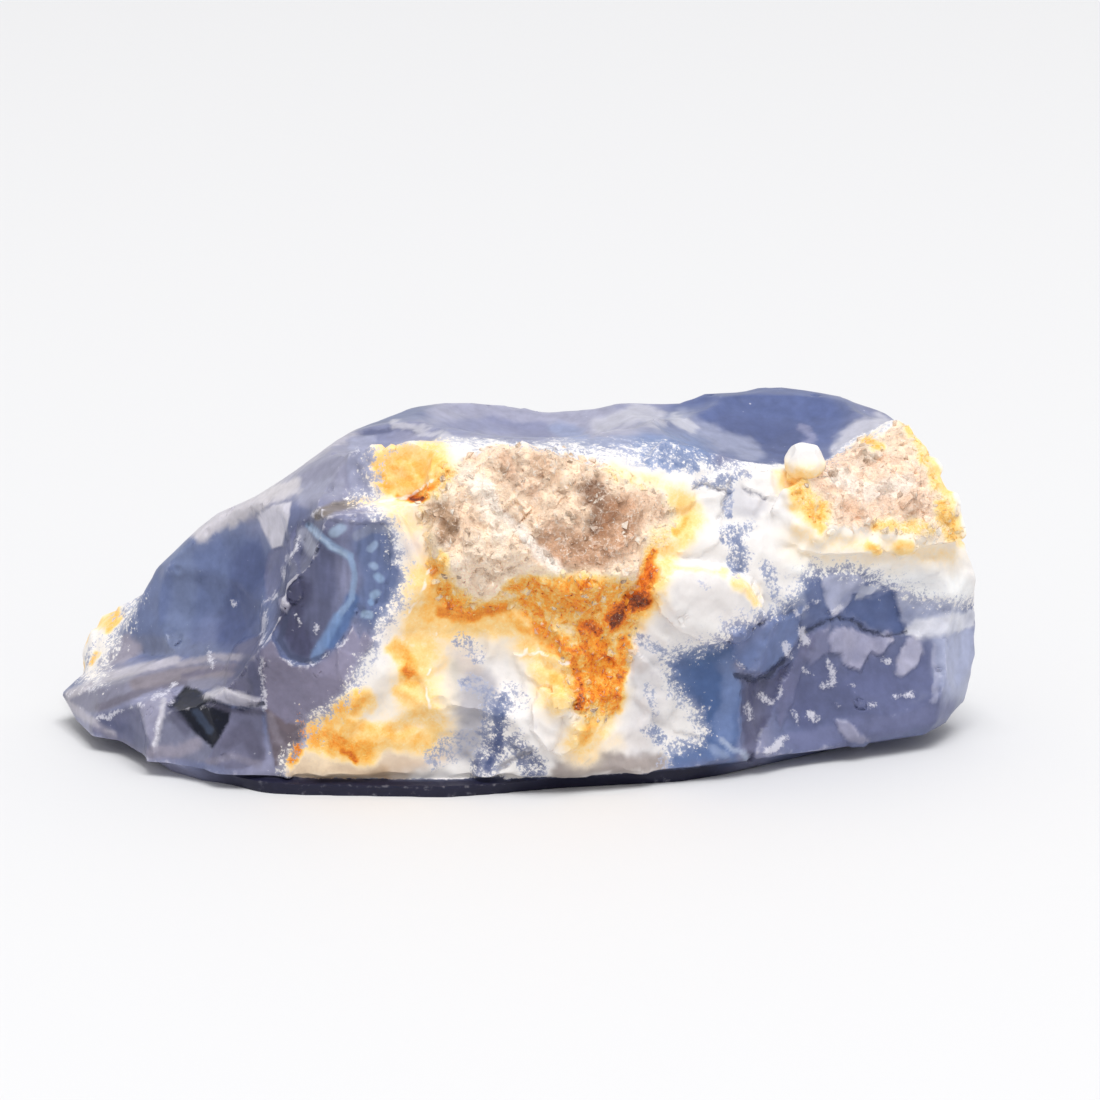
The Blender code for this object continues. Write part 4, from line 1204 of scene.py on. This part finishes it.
def nodule(name, limits):
    """The white lump of quartz that stands between the right hollow and the right quartz."""
    bm = bmesh.new()
    bmesh.ops.create_icosphere(bm, subdivisions=5, radius=1.0)
    mesh = bpy.data.meshes.new(name)
    bm.to_mesh(mesh)
    bm.free()
    shape = points_of(mesh) * MM
    for facing, out in NODULE_CUTS.values():
        facing = np.array(facing) / np.linalg.norm(facing)
        shape -= np.maximum(shape @ facing - out, 0)[:, None] * facing
    relief = 1 + 0.10 * mottle(shape, 1.1, 31.0) + 0.06 * mottle(shape, 0.5, 32.0)
    set_points(mesh, np.clip(NODULE_MIDDLE + shape * NODULE_REACH * relief[:, None], *limits))
    mesh.shade_smooth()
    count = len(shape)
    far = np.full(count, NO_LINE)
    white = np.tile(linear(CRUST_WHITE), (count, 1))
    add_fields(mesh, {
        "crust": np.full(count, float(DEEPEST)),
        "quartz": far,
        "rim": far,
        "crack_and_shadow_line": far,
        "ridge": np.zeros(count),
        "stain": NODULE_STAIN * ease(*NODULE_STAINED, shape[:, 2]),
        "tint": white,
        "crust_tint": white,
        "quartz_tint": white,
    })
    return placed(name, mesh)


MIX_SOCKETS = {"FLOAT": (2, 0), "RGBA": (6, 2)}


class Graph:
    """A material's nodes, added one at a time."""

    def __init__(self, name):
        self.material = bpy.data.materials.new(name)
        self.material.use_nodes = True
        self.tree = self.material.node_tree
        self.shader = self.tree.nodes["Principled BSDF"]
        self.place = self.add("ShaderNodeTexCoord").outputs["Object"]

    def add(self, kind, **settings):
        node = self.tree.nodes.new(kind)
        for key, value in settings.items():
            setattr(node, key, value)
        return node

    def feed(self, socket, value):
        if isinstance(value, bpy.types.NodeSocket):
            self.tree.links.new(value, socket)
        elif isinstance(value, (tuple, list, np.ndarray)):
            socket.default_value = (*[float(part) for part in value], 1.0)
        else:
            socket.default_value = value

    def math(self, operation, first, second=0.0, third=0.0):
        node = self.add("ShaderNodeMath", operation=operation)
        for socket, value in zip(node.inputs, (first, second, third)):
            self.feed(socket, value)
        return node.outputs[0]

    def ease(self, value, low, high, start=0.0, end=1.0):
        node = self.add("ShaderNodeMapRange", interpolation_type="SMOOTHSTEP")
        sockets = ("Value", "From Min", "From Max", "To Min", "To Max")
        for name, part in zip(sockets, (value, low, high, start, end)):
            self.feed(node.inputs[name], part)
        return node.outputs["Result"]

    def mixed(self, data_type, factor, first, second):
        """A Mix node of that type. It keeps the sockets of every type, so they are chosen by number."""
        node = self.add("ShaderNodeMix", data_type=data_type)
        first_socket, output = MIX_SOCKETS[data_type]
        for socket, value in ((0, factor), (first_socket, first), (first_socket + 1, second)):
            self.feed(node.inputs[socket], value)
        return node.outputs[output]

    def mix_value(self, factor, first, second):
        return self.mixed("FLOAT", factor, first, second)

    def mix(self, factor, first, second):
        return self.mixed("RGBA", factor, first, second)

    def shaded(self, colour, amount):
        """The colour made lighter or darker by a factor."""
        node = self.add("ShaderNodeVectorMath", operation="SCALE")
        self.feed(node.inputs[0], colour)
        self.feed(node.inputs["Scale"], amount)
        return node.outputs[0]

    def noise_node(self, wave):
        node = self.add("ShaderNodeTexNoise")
        self.feed(node.inputs["Vector"], self.place)
        self.feed(node.inputs["Scale"], 1 / (wave * MM))
        return node

    def noise(self, wave, detail=2.0, rough=0.5):
        """Noise from about -1 to 1 that varies over that many millimetres."""
        node = self.noise_node(wave)
        self.feed(node.inputs["Detail"], detail)
        self.feed(node.inputs["Roughness"], rough)
        return self.math("MULTIPLY_ADD", node.outputs[0], 4.0, -2.0)

    def jostled(self, wave, reach):
        """The place, pushed about by that many millimetres, so that cells lose their straight sides."""
        push = self.add("ShaderNodeVectorMath", operation="MULTIPLY_ADD")
        self.feed(push.inputs[0], self.noise_node(wave).outputs["Color"])
        push.inputs[1].default_value = (reach * MM,) * 3
        self.feed(push.inputs[2], self.place)
        return push.outputs[0]

    def cells(self, wave, feature="F1", output="Distance", place=None):
        node = self.add("ShaderNodeTexVoronoi", feature=feature)
        self.feed(node.inputs["Vector"], place or self.place)
        self.feed(node.inputs["Scale"], 1 / (wave * MM))
        return node.outputs[output]

    def bands(self, along, wave):
        """Uneven waves from -1 to 1 across the stone, that many millimetres wide."""
        across = self.add("ShaderNodeVectorMath", operation="DOT_PRODUCT")
        self.feed(across.inputs[0], self.jostled(5.0, 6.0))
        across.inputs[1].default_value = along
        slow = self.math("SINE", self.math("MULTIPLY", across.outputs["Value"], math.tau / (2.6 * wave * MM)))
        turn = self.math("MULTIPLY", across.outputs["Value"], math.tau / (wave * MM))
        return self.math("SINE", self.math("MULTIPLY_ADD", slow, 1.6, turn))

    def field(self, name, output="Fac"):
        return self.add("ShaderNodeAttribute", attribute_name=name).outputs[output]

    def ramp(self, value, stops):
        node = self.add("ShaderNodeValToRGB")
        self.feed(node.inputs[0], value)
        while len(node.color_ramp.elements) < len(stops):
            node.color_ramp.elements.new(0.5)
        for element, (place, colour) in zip(node.color_ramp.elements, stops):
            element.position = place
            element.color = (*linear(colour), 1.0)
        return node.outputs[0]

    def bump(self, height, distance):
        node = self.add("ShaderNodeBump")
        self.feed(node.inputs["Height"], height)
        self.feed(node.inputs["Distance"], distance * MM)
        return node.outputs[0]


# Colours that the material lays over the drawn ones, as red, green and blue of 255.
FLECK = (214, 214, 226)
RIM_WHITE = (220, 218, 227)
VEIL = (206, 208, 222)
GLASS = (200, 197, 205)
PIT = (176, 114, 68)
SMOKE = (150, 112, 80)
SEAM = (250, 232, 216)
SPARKLE = (255, 250, 246)
STAINED_SPARKLE = (255, 236, 206)
CRUST_RIM = (255, 249, 242)
CRUST_CRACK = (96, 96, 124)

# Stain from none to the full strength, and how much lighter it makes the crust.
STAIN_FULL = 1.7
STAIN_LIFT = 0.10
STAIN_STOPS = [
    (0.00, (254, 247, 238)), (0.14, (255, 237, 208)), (0.27, (255, 217, 146)), (0.42, (254, 191, 88)),
    (0.56, (255, 157, 34)), (0.74, (228, 110, 14)), (1.00, (108, 36, 10)),
]

# The gloss: roughness of the blue and of the crust.
ROUGHNESS = (0.32, 0.6)
CHALCEDONY_IOR = 1.54

# Faint bands of the agate: the way they follow each other, and their width in millimetres.
BAND_ACROSS = (0.25, 0.8, 0.55)
BAND_WAVE = 1.5


def stone_material():
    g = Graph("chalcedony_and_crust")
    fine = g.noise(0.13, 3.0, 0.7)
    mid = g.noise(0.5, 3.0, 0.6)
    large = g.noise(2.2, 2.0)
    grain = g.field("grain")

    blue = g.field("tint", "Color")
    cloud = g.math("MULTIPLY_ADD", large, 0.7, mid)
    cloud = g.math("MULTIPLY_ADD", g.bands(BAND_ACROSS, BAND_WAVE), 0.35, cloud)
    blue = g.shaded(blue, g.math("MULTIPLY_ADD", cloud, 0.12, 1.0))
    # Outward bends whiten: bruised stone and a painted edge highlight. Hollows darken: painted shade.
    ridge = g.math("MULTIPLY_ADD", mid, 1.6, g.field("ridge"))
    blue = g.mix(g.ease(ridge, 1.4, 4.2, 0.0, 0.5), blue, linear(BRUISE_AND_EDGE_HIGHLIGHT))
    blue = g.mix(g.ease(ridge, -1.2, -3.6, 0.0, 0.5), blue, linear(CRACK_AND_SHADE))
    fleck = g.math("MULTIPLY_ADD", fine, 0.05, g.cells(0.8))
    fleck_share = g.math("MULTIPLY", g.ease(fleck, 0.10, 0.03), g.ease(mid, 0.1, 0.5, 0.0, 0.6))
    blue = g.mix(fleck_share, blue, linear(FLECK))
    # The rims' white is partly bruised stone and partly a painted edge highlight.
    rim = g.math("ADD", g.math("MULTIPLY", mid, 1.6), g.math("MULTIPLY_ADD", fine, 2.8, g.field("rim")))
    blue = g.mix(g.ease(rim, -1.0, 2.6, 0.0, 0.7), blue, linear(RIM_WHITE))
    # Cracks are darkened, and the line under the step block with them, as a painted shadow.
    crack_and_shadow_line = g.math("ADD", g.math("MULTIPLY", mid, 1.8), g.math("MULTIPLY_ADD", fine, 1.2, g.field("crack_and_shadow_line")))
    crack_and_shadow_share = g.ease(crack_and_shadow_line, -1.4, 2.2, 0.0, 0.8)
    blue = g.mix(crack_and_shadow_share, blue, linear(CRACK_AND_SHADE))

    depth = g.math("MULTIPLY", g.field("crust"), 1 / 14)
    frost = g.ease(g.cells(0.3, place=g.jostled(0.12, 0.2)), 0.55, 0.15, -0.35, 0.35)
    ragged = g.math("ADD", g.math("MULTIPLY_ADD", fine, 1.1, frost), g.math("MULTIPLY", mid, 0.7))
    crust = g.ease(g.math("ADD", depth, ragged), -0.6, 0.3)
    veil = g.ease(g.math("MULTIPLY_ADD", mid, 0.4, depth), -1.0, 0.9, 0.0, 0.75)
    blue = g.mix(veil, blue, linear(VEIL))

    crust_colour = g.field("crust_tint", "Color")
    shade = g.math("MULTIPLY_ADD", g.math("MULTIPLY_ADD", fine, 0.6, mid), 0.035, 1.0)
    # The crust is lighter on outward bends and darker in hollows: painted highlight and painted shade.
    shade = g.math("MULTIPLY_ADD", g.ease(g.field("ridge"), -2.5, 2.5, -1.0, 1.0), 0.06, shade)
    crust_colour = g.shaded(crust_colour, shade)
    glass = g.ease(g.math("MULTIPLY_ADD", large, 0.8, mid), 0.5, 1.5, 0.0, 0.35)
    crust_colour = g.mix(glass, crust_colour, linear(GLASS))

    edge = g.math("MULTIPLY_ADD", g.field("quartz"), 1 / 8, g.math("MULTIPLY", mid, 0.8))
    quartz = g.ease(edge, -0.4, 0.4)
    jostled = g.jostled(0.16, 0.22)
    sugar = g.noise(0.24, 4.0, 0.75)
    single = g.math("MULTIPLY_ADD", g.cells(GRAIN_CELL, "F1", "Color", jostled), 0.5, 0.80)
    light = g.math("MULTIPLY_ADD", sugar, 0.16, g.math("MULTIPLY_ADD", mid, 0.06, single))
    quartz_colour = g.shaded(g.field("quartz_tint", "Color"), light)
    pits = g.ease(g.math("MULTIPLY_ADD", mid, 0.4, sugar), -0.2, -1.0, 0.0, 0.42)
    quartz_colour = g.mix(pits, quartz_colour, linear(PIT))
    smoky = g.ease(grain, -0.4, -1.8, 0.0, 0.4)
    quartz_colour = g.mix(smoky, quartz_colour, linear(SMOKE))
    facet = g.field("facet")
    light = g.math("MULTIPLY_ADD", facet, 0.10, g.math("MULTIPLY_ADD", grain, 0.10, 1.08))
    quartz_colour = g.shaded(quartz_colour, light)
    seam = g.math("MULTIPLY_ADD", fine, -0.10, g.cells(GRAIN_CELL, "DISTANCE_TO_EDGE", "Distance", jostled))
    seam_share = g.math("MULTIPLY", g.ease(seam, 0.14, 0.0), g.ease(mid, -0.5, 0.9, 0.05, 0.65))
    quartz_colour = g.mix(seam_share, quartz_colour, linear(SEAM))
    sparkle = g.ease(g.math("MULTIPLY_ADD", mid, 0.3, fine), 0.4, 0.9, 0.0, 0.85)
    sparkle = g.math("MAXIMUM", sparkle, g.ease(facet, 1.0, 1.5, 0.0, 0.85))
    quartz_colour = g.mix(sparkle, quartz_colour, linear(SPARKLE))

    stain = g.field("stain")
    patchy = g.math("MULTIPLY_ADD", mid, 0.14, g.math("MULTIPLY", fine, 0.10))
    patchy = g.math("MULTIPLY_ADD", grain, 0.12, patchy)
    patchy = g.math("MULTIPLY_ADD", facet, 0.06, patchy)
    patchy = g.math("MULTIPLY_ADD", g.math("MULTIPLY", sugar, quartz), -0.14, patchy)
    patchy = g.math("MULTIPLY_ADD", single, 0.3, g.math("SUBTRACT", patchy, 0.3))
    patchy = g.math("MULTIPLY", patchy, g.mix_value(quartz, 0.6, 1.0))
    stain = g.math("MULTIPLY_ADD", patchy, g.ease(stain, 0.05, 0.8, 0.0, 2.2), stain)
    stain_colour = g.ramp(g.math("MULTIPLY", stain, 1 / STAIN_FULL), STAIN_STOPS)
    stain_share = g.ease(stain, 0.04, 0.42, 0.0, 0.96)

    colour = g.mix(quartz, crust_colour, quartz_colour)
    colour = g.mix(stain_share, colour, stain_colour)
    sparkle = g.math("MULTIPLY", sparkle, g.math("MULTIPLY", quartz, 0.55))
    colour = g.mix(sparkle, colour, linear(STAINED_SPARKLE))
    # On the crust too, the rims' white is partly a painted edge highlight.
    white_rim = g.math("MULTIPLY_ADD", mid, 0.8, g.field("rim"))
    colour = g.mix(g.ease(white_rim, -1.0, 1.0, 0.0, 0.8), colour, linear(CRUST_RIM))
    colour = g.mix(g.math("MULTIPLY", crack_and_shadow_share, 0.8), colour, linear(CRUST_CRACK))
    lift = g.math("MULTIPLY_ADD", stain_share, STAIN_LIFT, g.mix_value(quartz, CRUST_SHADE, QUARTZ_SHADE))
    colour = g.shaded(colour, lift)
    colour = g.mix(crust, blue, colour)

    g.feed(g.shader.inputs["Base Color"], colour)
    g.feed(g.shader.inputs["Roughness"], g.ease(crust, 0.0, 1.0, *ROUGHNESS))
    g.shader.inputs["IOR"].default_value = CHALCEDONY_IOR
    g.shader.inputs["Specular IOR Level"].default_value = 0.22
    g.shader.inputs["Subsurface Weight"].default_value = 0.15
    g.shader.inputs["Subsurface Radius"].default_value = (1.0, 0.9, 0.8)
    g.shader.inputs["Subsurface Scale"].default_value = 0.7 * MM

    coarse = g.math("MAXIMUM", g.ease(g.field("quartz"), -3.0, 3.0), g.ease(g.field("stain"), 0.5, 1.0))
    grit = g.math("MULTIPLY", g.math("MULTIPLY_ADD", mid, 0.8, fine), coarse)
    g.feed(g.shader.inputs["Normal"], g.bump(grit, 0.04))
    return g.material


def add_camera():
    data = bpy.data.cameras.new("view")
    data.lens = VIEW_LENS
    data.sensor_width = VIEW_SENSOR
    data.clip_start = 0.01
    data.clip_end = 10.0
    camera = placed("view", data)
    camera.location = Vector(VIEW_PLACE) * MM
    camera.rotation_euler = (math.pi / 2 - VIEW_ELEVATION, 0.0, 0.0)
    bpy.context.scene.camera = camera


def add_light(name, place, aim, size, power):
    data = bpy.data.lights.new(name, "AREA")
    data.shape = "RECTANGLE"
    data.size, data.size_y = (side * MM for side in size)
    data.energy = power
    light = placed(name, data)
    light.location = Vector(place) * MM
    light.rotation_euler = (Vector(aim) - Vector(place)).to_track_quat("-Z", "Y").to_euler()


FLOOR_HALF = 4.0
FLOOR_COLOUR = (0.69, 0.69, 0.70, 1.0)
WORLD_STRENGTH = 0.74

# The panel: its place, what it looks at and its size in millimetres, then its watts.
KEY_PANEL = ((160, -560, 1400), (0, 0, 6), (900, 700), 18.0)


def add_floor():
    mesh = bpy.data.meshes.new("floor")
    corners = [(x * FLOOR_HALF, y * FLOOR_HALF, 0) for x, y in ((-1, -1), (1, -1), (1, 1), (-1, 1))]
    mesh.from_pydata(corners, [], [(0, 1, 2, 3)])
    floor = placed("floor", mesh)
    g = Graph("pale_floor")
    g.shader.inputs["Base Color"].default_value = FLOOR_COLOUR
    g.shader.inputs["Roughness"].default_value = 0.7
    g.shader.inputs["Specular IOR Level"].default_value = 0.2
    mesh.materials.append(g.material)


def add_world():
    world = bpy.data.worlds.new("white_room")
    world.use_nodes = True
    background = world.node_tree.nodes["Background"]
    background.inputs["Color"].default_value = (1.0, 1.0, 1.0, 1.0)
    background.inputs["Strength"].default_value = WORLD_STRENGTH
    bpy.context.scene.world = world


def dress(obj, material):
    obj.data.materials.clear()
    obj.data.materials.append(material)
    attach(obj, "root")


noise.seed_set(TILT_SEED)
for leftover in list(bpy.data.objects):
    bpy.data.objects.remove(leftover)
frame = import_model()
add_camera()
add_world()
add_floor()
add_light("key_panel", *KEY_PANEL)
bpy.context.scene.view_settings.view_transform = "Standard"

node = frame["nodes"]["agate_stone"]
limits = [np.array(corner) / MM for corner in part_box(node.name)]
stone = stone_surface(node)
pieces = [stone] + [
    quartz_grains(stone, f"{name}_grains", limits, sizes, GRAIN_SEED + number)
    for number, (name, sizes) in enumerate(GRAIN_SIZES.items())
] + [nodule("white_nodule", limits)]
material = stone_material()
for piece in pieces:
    dress(piece, material)
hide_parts("agate_stone")
